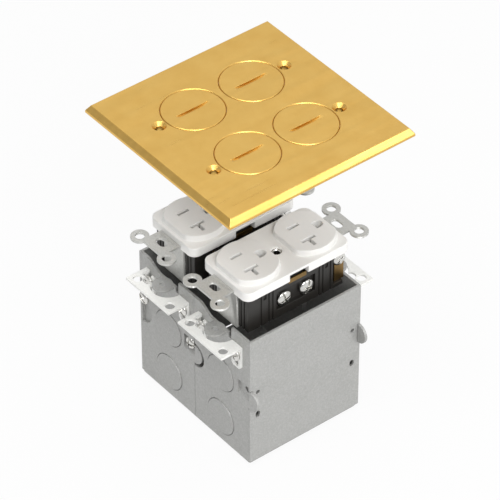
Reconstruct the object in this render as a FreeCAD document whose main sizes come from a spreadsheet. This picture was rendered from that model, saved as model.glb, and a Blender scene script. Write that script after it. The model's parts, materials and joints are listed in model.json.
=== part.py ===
import FreeCAD, Part
import math
import os
import Sketcher

doc = FreeCAD.newDocument("floor_socket_box")
sheet = doc.addObject("Spreadsheet::Sheet", "sizes")


# A length that knows both its value and the sheet formula it comes from.
class Size:
    def __init__(self, text, value):
        self.text = text
        self.value = value

    def __add__(self, other):
        other = as_size(other)
        return Size(f"({self.text} + {other.text})", self.value + other.value)

    def __sub__(self, other):
        other = as_size(other)
        return Size(f"({self.text} - {other.text})", self.value - other.value)

    def __mul__(self, other):
        other = as_size(other)
        return Size(f"({self.text} * {other.text})", self.value * other.value)

    def __truediv__(self, other):
        other = as_size(other)
        return Size(f"({self.text} / {other.text})", self.value / other.value)

    def __neg__(self):
        return Size(f"(0 - {self.text})", -self.value)

    __radd__ = __add__
    __rmul__ = __mul__

    def __rsub__(self, other):
        return as_size(other) - self


def as_size(number):
    if isinstance(number, Size):
        return number
    return Size(f"({number!r})", float(number))


rows = []


def size(name, value):
    rows.append(name)
    cell = f"B{len(rows)}"
    sheet.set(f"A{len(rows)}", name)
    sheet.set(cell, str(value))
    sheet.setAlias(cell, name)
    return Size(f"sizes.{name}", float(value))


# Steel box: two gangs of a gangable device box, side by side along X.
gang_pitch = size("gang_pitch", 46.04)
box_length = size("box_length", 76.2)
box_height = size("box_height", 88.9)
side_reach = size("side_reach", 2.38)
wall = size("wall", 1.6)
bend_radius = size("bend_radius", 2.4)
seam_gap = size("seam_gap", 0.3)

# Round joining tongues at the gang seam and the pockets with their screws above them.
tongue_drop = size("tongue_drop", 41.4)
back_tongue_drop = size("back_tongue_drop", 33.8)
tongue_radius = size("tongue_radius", 6.3)
tongue_gap = size("tongue_gap", 1.8)
join_rise = size("join_rise", 4.8)
back_join_fall = size("back_join_fall", 11.5)
pocket_width = size("pocket_width", 9.0)
pocket_gap = size("pocket_gap", 0.3)
pocket_ramp = size("pocket_ramp", 2.0)
pocket_relief = size("pocket_relief", 0.4)
join_screw_inset = size("join_screw_inset", 4.3)

# Holes and inner flanges of the loose side plates.
plate_hole_inset = size("plate_hole_inset", 5.4)
plate_hole_rise = size("plate_hole_rise", 3.8)
plate_hole_radius = size("plate_hole_radius", 1.3)
plate_slot_drop = size("plate_slot_drop", 53.7)
plate_screw_web = size("plate_screw_web", 0.5)
plate_slot_radius = size("plate_slot_radius", 1.4)
plate_slot_length = size("plate_slot_length", 4.4)
plate_flange_reach = size("plate_flange_reach", 9.0)
plate_flange_low = size("plate_flange_low", 8.0)
plate_flange_high = size("plate_flange_high", 26.0)
plate_tab_drop = size("plate_tab_drop", 8.5)
plate_tab_height = size("plate_tab_height", 5.0)
plate_ear_half = size("plate_ear_half", 5.0)

# Knockouts: a disc sheared loose all round and pushed out a little.
knockout_radius = size("knockout_radius", 11.1)
knockout_push = size("knockout_push", 0.45)
shear_width = size("shear_width", 0.3)
knockout_low = size("knockout_low", 18.0)
knockout_high = size("knockout_high", 50.0)

# Tapped lugs that carry the sockets.
device_spacing = size("device_spacing", 83.34)
lug_drop = size("lug_drop", 4.8)
lug_radius = size("lug_radius", 5.8)
lug_bay_left = size("lug_bay_left", 8.9)
lug_bay_right = size("lug_bay_right", 9.3)
shoulder_width = size("shoulder_width", 8.1)
shoulder_round = size("shoulder_round", 8.0)
relief_width = size("relief_width", 2.5)
relief_depth = size("relief_depth", 3.0)
device_screw_radius = size("device_screw_radius", 1.75)

# Plaster ears: angle brackets that slide up and down on two screws each.
ear_thickness = size("ear_thickness", 1.3)
ear_width = size("ear_width", 38.0)
ear_reach = size("ear_reach", 14.2)
ear_drop = size("ear_drop", 7.4)
ear_leg = size("ear_leg", 15.5)
ear_leg_width = size("ear_leg_width", 8.0)
ear_screw_offset = size("ear_screw_offset", 15.0)
ear_screw_drop = size("ear_screw_drop", 6.5)
ear_slot_below = size("ear_slot_below", 6.0)
ear_slot_above = size("ear_slot_above", 2.8)
nail_hole_radius = size("nail_hole_radius", 2.7)
nail_hole_edge = size("nail_hole_edge", 4.7)
ear_bay_radius = size("ear_bay_radius", 9.6)
ear_window_reach = size("ear_window_reach", 16.0)
ear_window_depth = size("ear_window_depth", 5.4)
ear_bite_offset = size("ear_bite_offset", 9.4)
ear_bite_radius = size("ear_bite_radius", 3.4)

# Machine screws of the box.
screw_radius = size("screw_radius", 1.75)
screw_head_radius = size("screw_head_radius", 3.7)
screw_head_height = size("screw_head_height", 2.1)
screw_slot_width = size("screw_slot_width", 0.9)

# Sockets, stored lifted above their seats on the lugs.
device_lift = size("device_lift", 28.0)
strap_thickness = size("strap_thickness", 1.3)
strap_half_width = size("strap_half_width", 8.4)
strap_half_length = size("strap_half_length", 48.6)
ring_radius = size("ring_radius", 5.2)
ring_hole_radius = size("ring_hole_radius", 2.7)
ring_side = size("ring_side", 11.8)
ring_end = size("ring_end", 47.4)
strap_slot_radius = size("strap_slot_radius", 2.3)
strap_slot_length = size("strap_slot_length", 7.6)
base_half_width = size("base_half_width", 19.4)
base_half_length = size("base_half_length", 35.6)
base_corner = size("base_corner", 5.0)
base_below = size("base_below", 2.6)
base_above = size("base_above", 3.4)
face_height = size("face_height", 7.0)
face_radius = size("face_radius", 16.9)
face_flat = size("face_flat", 14.0)
face_draft = size("face_draft", 0.35)
link_notch_half = size("link_notch_half", 6.4)
link_notch_depth = size("link_notch_depth", 4.6)
link_notch_top = size("link_notch_top", 1.2)
link_notch_gap = size("link_notch_gap", 0.3)
outlet_spacing = size("outlet_spacing", 38.9)
blade_offset = size("blade_offset", 3.1)
blade_half_spacing = size("blade_half_spacing", 6.35)
ground_distance = size("ground_distance", 11.9)
slot_width = size("slot_width", 2.0)
hot_slot_length = size("hot_slot_length", 7.4)
neutral_slot_length = size("neutral_slot_length", 8.8)
cross_slot_length = size("cross_slot_length", 5.0)
ground_hole_radius = size("ground_hole_radius", 2.7)
ground_bar_drop = size("ground_bar_drop", 23.3)
ground_bar_half = size("ground_bar_half", 2.0)
ground_sheet = size("ground_sheet", 1.0)
ground_tube = size("ground_tube", 19.0)
ground_tab_x = size("ground_tab_x", 15.2)
ground_screw_row = size("ground_screw_row", 30.2)
ground_screw_drop = size("ground_screw_drop", 8.0)
ground_screw_length = size("ground_screw_length", 5.2)
strap_bar_row = size("strap_bar_row", 37.2)
strap_bar_half = size("strap_bar_half", 6.5)
rivet_offset = size("rivet_offset", 6.5)
rivet_row = size("rivet_row", 29.8)
body_half_width = size("body_half_width", 16.6)
body_half_length = size("body_half_length", 32.4)
body_depth = size("body_depth", 26.0)
groove_row = size("groove_row", 21.0)
end_groove_row = size("end_groove_row", 10.8)
groove_pitch = size("groove_pitch", 2.6)
groove_width = size("groove_width", 1.0)
groove_depth = size("groove_depth", 0.6)
contact_sheet = size("contact_sheet", 0.8)
contact_room = size("contact_room", 0.25)
rail_side = size("rail_side", 12.4)
terminal_offset = size("terminal_offset", 7.6)
terminal_drop = size("terminal_drop", 15.5)
terminal_head_radius = size("terminal_head_radius", 4.1)
terminal_head_height = size("terminal_head_height", 2.2)
terminal_recess = size("terminal_recess", 2.2)
clamp_thickness = size("clamp_thickness", 1.1)
clamp_half = size("clamp_half", 4.3)
shutter_travel = size("shutter_travel", 7.2)
shutter_gap = size("shutter_gap", 0.3)
shutter_skin = size("shutter_skin", 4.0)
spring_radius = size("spring_radius", 1.1)
spring_wire = size("spring_wire", 0.25)
spring_pitch = size("spring_pitch", 4.0)
rivet_radius = size("rivet_radius", 1.2)
bush_radius = size("bush_radius", 2.9)

# Cover plate with four screwed-in discs, stored above the sockets.
cover_lift = size("cover_lift", 97.3)
cover_half_width = size("cover_half_width", 61.5)
cover_half_length = size("cover_half_length", 61.5)
cover_thickness = size("cover_thickness", 5.1)
cover_bevel = size("cover_bevel", 2.4)
cover_bevel_drop = size("cover_bevel_drop", 3.6)
gasket_thickness = size("gasket_thickness", 1.6)
gasket_margin = size("gasket_margin", 3.0)
disc_bore_radius = size("disc_bore_radius", 17.5)
disc_clearance = size("disc_clearance", 0.1)
disc_thickness = size("disc_thickness", 3.0)
disc_chamfer = size("disc_chamfer", 0.45)
coin_slot_length = size("coin_slot_length", 22.0)
coin_slot_width = size("coin_slot_width", 2.0)
coin_cutter_radius = size("coin_cutter_radius", 40.0)
seal_height = size("seal_height", 1.0)
seal_width = size("seal_width", 1.2)
cover_screw_radius = size("cover_screw_radius", 2.1)
countersink_radius = size("countersink_radius", 4.0)

doc.recompute()


# Part primitives and booleans whose sizes and places follow the sheet.
TURNED = {
    "z": FreeCAD.Rotation(),
    "x": FreeCAD.Rotation(FreeCAD.Vector(0, 1, 0), 90),
    "y": FreeCAD.Rotation(FreeCAD.Vector(1, 0, 0), -90),
}
counter = 0


def bind(thing, prop, length):
    thing.setExpression(prop, as_size(length).text)


def place(thing, x, y, z, along="z"):
    thing.Placement = FreeCAD.Placement(FreeCAD.Vector(), TURNED[along])
    bind(thing, "Placement.Base.x", x)
    bind(thing, "Placement.Base.y", y)
    bind(thing, "Placement.Base.z", z)


def new(kind, name):
    global counter
    counter += 1
    thing = doc.addObject(kind, f"{name}_{counter}")
    return thing


def block(x, y, z, name="block"):
    thing = new("Part::Box", name)
    bind(thing, "Length", as_size(x[1]) - x[0])
    bind(thing, "Width", as_size(y[1]) - y[0])
    bind(thing, "Height", as_size(z[1]) - z[0])
    place(thing, x[0], y[0], z[0])
    return thing


def rod(x, y, z, radius, length, along="z", name="rod"):
    thing = new("Part::Cylinder", name)
    bind(thing, "Radius", radius)
    bind(thing, "Height", length)
    place(thing, x, y, z, along)
    return thing


def taper(x, y, z, radius, top_radius, length, along="z", name="taper"):
    thing = new("Part::Cone", name)
    bind(thing, "Radius1", radius)
    bind(thing, "Radius2", top_radius)
    bind(thing, "Height", length)
    place(thing, x, y, z, along)
    return thing


def join(things, name="join"):
    thing = new("Part::MultiFuse", name)
    thing.Shapes = things
    thing.Refine = True
    return thing


def overlap(things, name="overlap"):
    thing = new("Part::MultiCommon", name)
    thing.Shapes = things
    return thing


def cut(base, tools, name="cut"):
    tool = tools[0]
    if len(tools) > 1:
        tool = join(tools, "tools")
    thing = new("Part::Cut", name)
    thing.Base = base
    thing.Tool = tool
    return thing


def gather(things, name="set"):
    thing = new("Part::Compound", name)
    thing.Links = things
    return thing


def round_block(x, y, z, radius, name="round_block"):
    low_x, high_x = as_size(x[0]), as_size(x[1])
    low_y, high_y = as_size(y[0]), as_size(y[1])
    parts = [
        block((low_x + radius, high_x - radius), y, z),
        block(x, (low_y + radius, high_y - radius), z),
    ]
    for cx in (low_x + radius, high_x - radius):
        for cy in (low_y + radius, high_y - radius):
            parts.append(rod(cx, cy, z[0], radius, as_size(z[1]) - z[0]))
    return join(parts, name)


# A slot with round ends, its long side along X, Y or Z and its hole along another axis.
def long_hole(centre, radius, length, long_axis, hole_axis, depth):
    half = (as_size(length) - radius * 2) / 2
    parts = []
    lows, highs = [], []
    for axis, middle in zip("xyz", centre):
        middle = as_size(middle)
        if axis == long_axis:
            lows.append(middle - half)
            highs.append(middle + half)
        elif axis == hole_axis:
            lows.append(middle)
            highs.append(middle + depth)
        else:
            lows.append(middle - radius)
            highs.append(middle + radius)
    parts.append(block((lows[0], highs[0]), (lows[1], highs[1]), (lows[2], highs[2])))
    for side in (-1, 1):
        at = [as_size(c) for c in centre]
        k = "xyz".index(long_axis)
        at[k] = at[k] + half * side
        parts.append(rod(at[0], at[1], at[2], radius, depth, hole_axis))
    return join(parts, "long_hole")


# PartDesign bodies built from sketches.
def start_body(name):
    return doc.addObject("PartDesign::Body", name)


def origin_plane(body, role):
    for feature in body.Origin.OriginFeatures:
        if feature.Role == role:
            return feature


def start_sketch(body, name, role, height=0):
    sketch = body.newObject("Sketcher::SketchObject", name)
    sketch.AttachmentSupport = [(origin_plane(body, role), "")]
    sketch.MapMode = "FlatFace"
    bind(sketch, "AttachmentOffset.Base.z", height)
    return sketch


def pin_point(sketch, item, point, x, y):
    for kind, length in (("DistanceX", x), ("DistanceY", y)):
        length = as_size(length)
        number = sketch.addConstraint(Sketcher.Constraint(kind, -1, 1, item, point, length.value))
        sketch.setExpression(f"Constraints[{number}]", length.text)


def draw_outline(sketch, points):
    corners = [(as_size(x), as_size(y)) for x, y in points]
    spots = [FreeCAD.Vector(x.value, y.value, 0) for x, y in corners]
    first = sketch.GeometryCount
    for k, spot in enumerate(spots):
        sketch.addGeometry(Part.LineSegment(spot, spots[(k + 1) % len(spots)]), False)
    for k in range(len(spots)):
        after = first + (k + 1) % len(spots)
        sketch.addConstraint(Sketcher.Constraint("Coincident", first + k, 2, after, 1))
    for k, (x, y) in enumerate(corners):
        pin_point(sketch, first + k, 1, x, y)


def draw_circle(sketch, x, y, radius):
    x, y, radius = as_size(x), as_size(y), as_size(radius)
    centre = FreeCAD.Vector(x.value, y.value, 0)
    circle = Part.Circle(centre, FreeCAD.Vector(0, 0, 1), radius.value)
    item = sketch.addGeometry(circle, False)
    pin_point(sketch, item, 3, x, y)
    number = sketch.addConstraint(Sketcher.Constraint("Radius", item, radius.value))
    sketch.setExpression(f"Constraints[{number}]", radius.text)


def pad(body, sketch, length, name="pad", both=False):
    feature = body.newObject("PartDesign::Pad", f"{body.Name}_{name}")
    feature.Profile = sketch
    bind(feature, "Length", length)
    feature.Midplane = both
    doc.recompute()
    return feature


def pocket(body, sketch, length, name="pocket", reverse=False):
    before = body.Shape.Volume
    feature = body.newObject("PartDesign::Pocket", f"{body.Name}_{name}")
    feature.Profile = sketch
    bind(feature, "Length", length)
    feature.Reversed = reverse
    doc.recompute()
    if not body.Shape.Volume < before - 0.001:
        raise ValueError(f"{feature.Name} cuts nothing")
    return feature


# A pocket that goes through everything, both ways from its sketch.
def punch(body, sketch, name):
    before = body.Shape.Volume
    feature = body.newObject("PartDesign::Pocket", f"{body.Name}_{name}")
    feature.Profile = sketch
    bind(feature, "Length", box_length + 20)
    feature.Midplane = True
    doc.recompute()
    if not body.Shape.Volume < before - 0.001:
        raise ValueError(f"{feature.Name} cuts nothing")


def edge_names(shape, wanted):
    return [f"Edge{k + 1}" for k, edge in enumerate(shape.Edges) if wanted(edge)]


def soften(body, kind, wanted, length, name):
    names = edge_names(body.Tip.Shape, wanted)
    feature = body.newObject(f"PartDesign::{kind}", f"{body.Name}_{name}")
    feature.Base = (body.Tip if body.Tip != feature else feature.BaseFeature, names)
    bind(feature, "Radius" if kind == "Fillet" else "Size", length)
    doc.recompute()
    return feature


nodes = {}


def finish(name, thing):
    thing.Label = name
    nodes[name] = thing


# Screw with a slotted round head, pointing out along one axis.
def slotted_screw(x, y, z, along, sign, radius, length, head_radius, head_height, slot_turn=0):
    x, y, z = as_size(x), as_size(y), as_size(z)
    spot = {"x": x, "y": y, "z": z}
    parts = []
    low = dict(spot)
    low[along] = spot[along] - length if sign > 0 else spot[along]
    parts.append(rod(low["x"], low["y"], low["z"], radius, length, along))
    head = dict(spot)
    head[along] = spot[along] if sign > 0 else spot[along] - head_height
    rim = head_height * 0.45
    dome = head_height - rim
    flat = dict(head)
    if sign < 0:
        flat[along] = head[along] + dome
    parts.append(rod(flat["x"], flat["y"], flat["z"], head_radius, rim, along))
    crown = dict(head)
    if sign > 0:
        crown[along] = head[along] + rim
        cap = taper(crown["x"], crown["y"], crown["z"], head_radius, head_radius * 0.72, dome, along)
    else:
        cap = taper(crown["x"], crown["y"], crown["z"], head_radius * 0.72, head_radius, dome, along)
    parts.append(cap)
    solid = join(parts, "screw")
    half = screw_slot_width / 2
    reach = head_radius + 0.5
    span = {}
    others = [a for a in "xyz" if a != along]
    wide, narrow = others if slot_turn == 0 else reversed(others)
    span[wide] = (spot[wide] - reach, spot[wide] + reach)
    span[narrow] = (spot[narrow] - half, spot[narrow] + half)
    depth = head_height * 0.5
    if sign > 0:
        span[along] = (spot[along] + head_height - depth, spot[along] + head_height + 0.5)
    else:
        span[along] = (spot[along] - head_height - 0.5, spot[along] - head_height + depth)
    return cut(solid, [block(span["x"], span["y"], span["z"])], "slotted_screw")


half_length = box_length / 2
half_width = gang_pitch + side_reach
lug_top = box_height - lug_drop
ear_top = box_height - ear_drop
ear_screw_height = ear_top - ear_screw_drop
plate_screw_x = -half_width + wall + screw_radius + 0.6

# Heights of the joining tongue and its screw on the front and the back wall. The screw is beside
# the tongue's upper half at the front and below the tongue at the back.
WALLS = {-1: "front", 1: "back"}
front_tongue = box_height - tongue_drop
back_tongue = box_height - back_tongue_drop
join_levels = {
    -1: (front_tongue, front_tongue + join_rise),
    1: (back_tongue, back_tongue - back_join_fall),
}

# The pocket is just larger than the screw's head, with its ramp below.
pocket_above = screw_head_radius + pocket_gap
pocket_below = pocket_above + pocket_ramp

# The left side plate is screwed on clear of the gap that is punched for a tongue.
tongue_gap_radius = tongue_radius + tongue_gap
plate_levels = {
    -1: front_tongue + tongue_gap_radius + screw_radius + plate_screw_web,
    1: join_levels[1][1],
}


# Sheet-steel U of one gang: floor and two end walls, folded at the floor. The openings
# in the two walls are punched through both at once.
def gang_shell(side, centre, low, high):
    body = start_body(f"shell_{side}")
    profile = start_sketch(body, f"shell_{side}_profile", "YZ_Plane", low)
    draw_outline(
        profile,
        [
            (-half_length, 0),
            (half_length, 0),
            (half_length, box_height),
            (half_length - wall, box_height),
            (half_length - wall, wall),
            (-half_length + wall, wall),
            (-half_length + wall, box_height),
            (-half_length, box_height),
        ],
    )
    pad(body, profile, as_size(high) - low)

    def outer_fold(edge):
        middle = edge.CenterOfMass
        at_side = abs(abs(middle.y) - half_length.value) < 0.01
        return edge.BoundBox.XLength > 5 and abs(middle.z) < 0.01 and at_side

    soften(body, "Fillet", outer_fold, bend_radius, "folds")

    # Bay over the lug: a sloping shoulder on the left, a relief slot on the right.
    bay = start_sketch(body, f"shell_{side}_bay", "XZ_Plane")
    slope_end = centre - lug_bay_left
    right_edge = centre + lug_bay_right
    draw_outline(
        bay,
        [
            (slope_end - shoulder_width, box_height + 1),
            (slope_end - shoulder_width, box_height),
            (slope_end, lug_top),
            (right_edge - relief_width, lug_top),
            (right_edge - relief_width, lug_top - relief_depth),
            (right_edge, lug_top - relief_depth),
            (right_edge, box_height + 1),
        ],
    )
    punch(body, bay, "bay")
    corners = [
        ((slope_end - shoulder_width).value, box_height.value),
        (slope_end.value, lug_top.value),
    ]

    def shoulder(edge):
        middle = edge.CenterOfMass
        near = [abs(middle.x - x) + abs(middle.z - z) < 0.01 for x, z in corners]
        return any(near) and edge.BoundBox.YLength > 1

    soften(body, "Fillet", shoulder, shoulder_round, "shoulders")

    # Screw holes of the plaster ears, through both walls.
    ear_holes = start_sketch(body, f"shell_{side}_ear_holes", "XZ_Plane")
    for hand in (-1, 1):
        draw_circle(ear_holes, centre + ear_screw_offset * hand, ear_screw_height, screw_radius)
    punch(body, ear_holes, "ear_holes")

    # In each wall a half-round gap for the neighbour's tongue and a pocket for the joining screw.
    for end, wall_name in WALLS.items():
        tongue, screw = join_levels[end]
        opened = start_sketch(body, f"shell_{side}_{wall_name}", "XZ_Plane")
        draw_circle(opened, low, tongue, tongue_gap_radius)
        near, far = as_size(high) - pocket_width, as_size(high) + 1
        draw_outline(
            opened,
            [
                (near, screw - pocket_below),
                (far, screw - pocket_below),
                (far, screw + pocket_above),
                (near, screw + pocket_above),
            ],
        )
        if side == "left":
            draw_circle(opened, plate_screw_x, plate_levels[end], screw_radius)
        pocket(body, opened, box_length, f"{wall_name}_holes", end < 0)
    return body


# Knockouts of one end wall: a sheared ring cut half through, and the disc in it pushed outwards.
def make_knockouts(centre, end):
    outer = half_length * end
    rings, discs = [], []
    for height in (knockout_low, knockout_high):
        ring_face = outer - 0.5 if end < 0 else outer - wall / 2
        depth = wall / 2 + 0.5
        ring = cut(
            rod(centre, ring_face, height, knockout_radius + shear_width, depth, "y"),
            [rod(centre, ring_face - 1, height, knockout_radius, depth + 2, "y")],
        )
        rings.append(ring)
        rim = knockout_radius - knockout_push / 2
        if end < 0:
            disc = taper(centre, outer - knockout_push, height, rim, knockout_radius, knockout_push, "y")
        else:
            disc = taper(centre, outer, height, knockout_radius, rim, knockout_push, "y")
        discs.append(disc)
    return rings, discs


# Pieces added to one end wall: lug, tongue and the floor of the pocket. The floor lies one sheet
# deep behind the screw and ramps out to the wall below it.
def end_wall_extras(side, centre, high, end, outside_edge):
    tongue, screw = join_levels[end]
    outer = half_length * end
    inner, deep = [(half_length - wall * layer) * end for layer in (1, 2)]
    extras = []
    hole_y = device_spacing / 2 * end
    lug_span = (hole_y, inner) if end < 0 else (inner, hole_y)
    plate = join(
        [
            block((centre - lug_radius, centre + lug_radius), lug_span, (lug_top - wall, lug_top)),
            rod(centre, hole_y, lug_top - wall, lug_radius, wall),
        ],
        "lug",
    )
    extras.append(cut(plate, [rod(centre, hole_y, lug_top - wall - 1, device_screw_radius, wall + 2)]))
    wall_span = (outer, inner) if end < 0 else (inner, outer)
    disc = rod(outside_edge, wall_span[0], tongue, tongue_radius, wall, "y")
    keep = block(
        (as_size(high) - 1, as_size(outside_edge) + tongue_radius + 1),
        (wall_span[0] - 1, wall_span[1] + 1),
        (tongue - tongue_radius - 1, tongue + tongue_radius + 1),
    )
    top, bottom = screw + pocket_above, screw - pocket_below
    # Beside the pocket the tongue stands free of it.
    relief = block(
        (as_size(high) - 2, as_size(high) + pocket_relief),
        (wall_span[0] - 1, wall_span[1] + 1),
        (bottom, top),
    )
    extras.append(cut(overlap([disc, keep]), [relief], "tongue"))
    floor = start_body(f"pocket_{side}_{WALLS[end]}")
    floor_start = as_size(high) - pocket_width - wall
    section = start_sketch(floor, f"{floor.Name}_section", "YZ_Plane", floor_start)
    draw_outline(
        section,
        [
            (inner, top + wall),
            (deep, top + wall),
            (deep, bottom + pocket_ramp),
            (inner, bottom - wall),
            (outer, bottom),
            (inner, bottom + pocket_ramp),
        ],
    )
    pad(floor, section, pocket_width + wall)
    slot_y = deep - 1 if end > 0 else outer - 1
    slot_x = as_size(outside_edge) - join_screw_inset
    screw_slot = block(
        (slot_x, as_size(high) + 1),
        (slot_y, slot_y + wall * 2 + 2),
        (screw - screw_radius, screw + screw_radius),
    )
    screw_end = rod(slot_x, slot_y, screw, screw_radius, wall * 2 + 2, "y")
    extras.append(cut(floor, [screw_slot, screw_end], "pocket_floor"))
    return extras


# Pad that reaches behind the neighbour's pocket and takes its screw. At the front its root runs
# up past the tongue's gap to the wall.
def tapped_pad(low, end):
    tongue, screw = join_levels[end]
    inner, deep, deeper = [(half_length - wall * layer) * end for layer in (1, 2, 3)]
    root_span = (inner, deeper) if end < 0 else (deeper, inner)
    pad_span = (deep, deeper) if end < 0 else (deeper, deep)
    tall = (screw - pocket_above, screw + pocket_above)
    root_top = tongue + tongue_gap_radius + wall * 3 if end < 0 else screw + pocket_above
    root = block((as_size(low), as_size(low) + wall * 3), root_span, (screw - pocket_above, root_top))
    reach = block((-pocket_width, as_size(low) + wall), pad_span, tall)
    solid = join([root, reach], "tapped_pad")
    hole = rod(-join_screw_inset, pad_span[0] - 1, screw, screw_radius, wall + 2, "y")
    return cut(solid, [hole], "tapped_pad")


def make_gang(side, sign):
    if sign > 0:
        low, high = seam_gap / 2, half_width - wall
        outside_edge = half_width
    else:
        low, high = -half_width + wall, -seam_gap / 2
        outside_edge = as_size(0)
    centre = gang_pitch / 2 * sign
    shell = gang_shell(side, centre, low, high)
    tools, extras = [], []
    for end in WALLS:
        rings, discs = make_knockouts(centre, end)
        tools += rings
        extras += discs + end_wall_extras(side, centre, high, end, outside_edge)
        if sign > 0:
            extras.append(tapped_pad(low, end))
    # Knockout and ground hole in the floor.
    floor_ring = cut(
        rod(centre, 0, -0.5, knockout_radius + shear_width, wall * 0.8 + 0.5),
        [rod(centre, 0, -1, knockout_radius, wall * 2)],
    )
    tools.append(floor_ring)
    stamped = cut(shell, tools, "stamped")
    finish(f"box_gang_{side}", join([stamped] + extras, f"box_gang_{side}"))


make_gang("right", 1)
make_gang("left", -1)


# Loose side plate closing one end of the pair of gangs.
def make_side_plate(side, sign):
    outer = half_width * sign
    inner = outer - wall * sign
    span = (outer, inner) if sign < 0 else (inner, outer)
    plate = block(span, (-half_length, half_length), (bend_radius, box_height))
    tools = []
    extras = []
    tab_low = ear_screw_height - plate_tab_drop
    for end, (tongue, screw) in join_levels.items():
        edge = half_length * end
        tongue_room = wall + 0.15
        notch = (edge - 1, edge + tongue_room) if end < 0 else (edge - tongue_room, edge + 1)
        if sign > 0:
            tall = (tongue - tongue_radius - 0.3, tongue + tongue_radius + 0.3)
            tools.append(block((span[0] - 1, span[1] + 1), notch, tall))
        # A small round hole beside the tongue and a slotted one well below it.
        hole_y = edge - plate_hole_inset * end
        small_hole = tongue + plate_hole_rise
        tools.append(rod(span[0] - 1, hole_y, small_hole, plate_hole_radius, wall + 2, "x"))
        low_hole = (span[0] - 1, hole_y, box_height - plate_slot_drop)
        tools.append(long_hole(low_hole, plate_slot_radius, plate_slot_length, "z", "x", wall + 2))
        # Flanges that slip behind the end wall, and on the left a drilled ear for the screw that
        # also closes the tongue's gap.
        layers = [(half_length - wall * layer) * end for layer in (1, 2)]
        flange_y = layers if end < 0 else layers[::-1]
        flange_x = (inner, inner + plate_flange_reach) if sign < 0 else (inner - plate_flange_reach, inner)
        extras.append(block(flange_x, flange_y, (plate_flange_low, plate_flange_high)))
        extras.append(block(flange_x, flange_y, (tab_low, tab_low + plate_tab_height)))
        if sign < 0:
            level = plate_levels[end]
            if end < 0:
                ear_span = (tongue - tongue_gap_radius - 1, level + plate_ear_half)
            else:
                ear_span = (level - plate_ear_half, tongue + tongue_gap_radius + 1)
            ear = block(flange_x, flange_y, ear_span)
            hole = rod(plate_screw_x, flange_y[0] - 1, level, screw_radius, wall + 2, "y")
            extras.append(cut(ear, [hole]))
    finish(f"side_plate_{side}", join([cut(plate, tools)] + extras, f"side_plate_{side}"))


make_side_plate("right", 1)
make_side_plate("left", -1)

# Two screws at the gang seam and two at the left side plate.
joining, plating = [], []
for end, (tongue, screw) in join_levels.items():
    seat = half_length * end - wall * end
    joining.append(
        slotted_screw(-join_screw_inset, seat, screw, "y", end, screw_radius, wall * 2 + 2,
                      screw_head_radius, screw_head_height + 0.4, 1)
    )
    plating.append(
        slotted_screw(plate_screw_x, half_length * end, plate_levels[end], "y", end,
                      screw_radius, wall * 2 + 2, screw_head_radius, screw_head_height, 1)
    )
finish("joining_screws", gather(joining, "joining_screws"))
finish("side_plate_screws", gather(plating, "side_plate_screws"))


# One plaster ear: a flange to nail or screw down, and two slotted legs on the end wall.
def make_ear(side, sign, place_name, end):
    centre = gang_pitch / 2 * sign
    body = start_body(f"ear_blank_{side}_{place_name}")
    flange = start_sketch(body, f"{body.Name}_flange", "XY_Plane", ear_top)
    inner = half_length * end
    outer = (half_length + ear_reach) * end
    left, right = centre - ear_width / 2, centre + ear_width / 2
    draw_outline(flange, [(left, inner), (right, inner), (right, outer), (left, outer)])
    plate = pad(body, flange, ear_thickness, "plate")
    plate.Reversed = True
    doc.recompute()
    legs = start_sketch(body, f"{body.Name}_legs", "XZ_Plane", -(half_length * end))
    for leg in (-1, 1):
        middle = centre + ear_screw_offset * leg
        half = ear_leg_width / 2
        low = ear_top - ear_leg
        draw_outline(
            legs,
            [
                (middle - half, ear_top),
                (middle - half, low + 1.5),
                (middle - half + 1.5, low),
                (middle + half - 1.5, low),
                (middle + half, low + 1.5),
                (middle + half, ear_top),
            ],
        )
    blades = pad(body, legs, ear_thickness, "legs")
    blades.Reversed = end > 0
    doc.recompute()
    holes = start_sketch(body, f"{body.Name}_holes", "XY_Plane", ear_top)
    for hole in (-1, 1):
        draw_circle(
            holes,
            centre + (ear_width / 2 - nail_hole_edge) * hole,
            outer - nail_hole_edge * end,
            nail_hole_radius,
        )
    pocket(body, holes, ear_thickness + 1, "nail_holes")
    # The bracket is the same part on both end walls, turned half a turn about Z.
    turn = -end
    through = (ear_top - ear_thickness - 1, ear_top + 1)
    bay = rod(centre + 0.6 * turn, inner + 0.5 * end, through[0], ear_bay_radius, ear_thickness + 2)
    far_x, near_x = centre - ear_window_reach * turn, centre - 2.0 * turn
    window_x = (far_x, near_x) if turn > 0 else (near_x, far_x)
    window_edge, inner_y = inner + ear_window_depth * end, inner - 1 * end
    window_y = (window_edge, inner_y) if end < 0 else (inner_y, window_edge)
    window = join(
        [
            block(window_x, window_y, through),
            rod(centre - ear_bite_offset * turn, window_edge, through[0], ear_bite_radius, ear_thickness + 2),
        ]
    )
    slots = []
    for leg in (-1, 1):
        top = ear_screw_height + ear_slot_above
        bottom = ear_screw_height - ear_slot_below
        near = inner - 1 if end > 0 else inner - ear_thickness - 1
        slots.append(
            long_hole(
                (centre + ear_screw_offset * leg, near, (top + bottom) / 2),
                screw_radius + 0.15,
                top - bottom + (screw_radius + 0.15) * 2,
                "z",
                "y",
                ear_thickness + 2,
            )
        )
    name = f"ear_{side}_{place_name}"
    finish(name, cut(body, [bay, window] + slots, f"slotted_{name}"))


ear_screws = []
for side, sign in (("right", 1), ("left", -1)):
    for place_name, end in (("front", -1), ("back", 1)):
        make_ear(side, sign, place_name, end)
        for leg in (-1, 1):
            ear_screws.append(
                slotted_screw(
                    gang_pitch / 2 * sign + ear_screw_offset * leg,
                    (half_length + ear_thickness) * end,
                    ear_screw_height,
                    "y",
                    end,
                    screw_radius,
                    wall + ear_thickness + 1.5,
                    screw_head_radius,
                    screw_head_height,
                    1,
                )
            )
finish("ear_screws", gather(ear_screws, "ear_screws"))

# Duplex sockets. Heights are counted from the top of the steel strap.
strap_top = lug_top + strap_thickness + device_lift
room = contact_room


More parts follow.
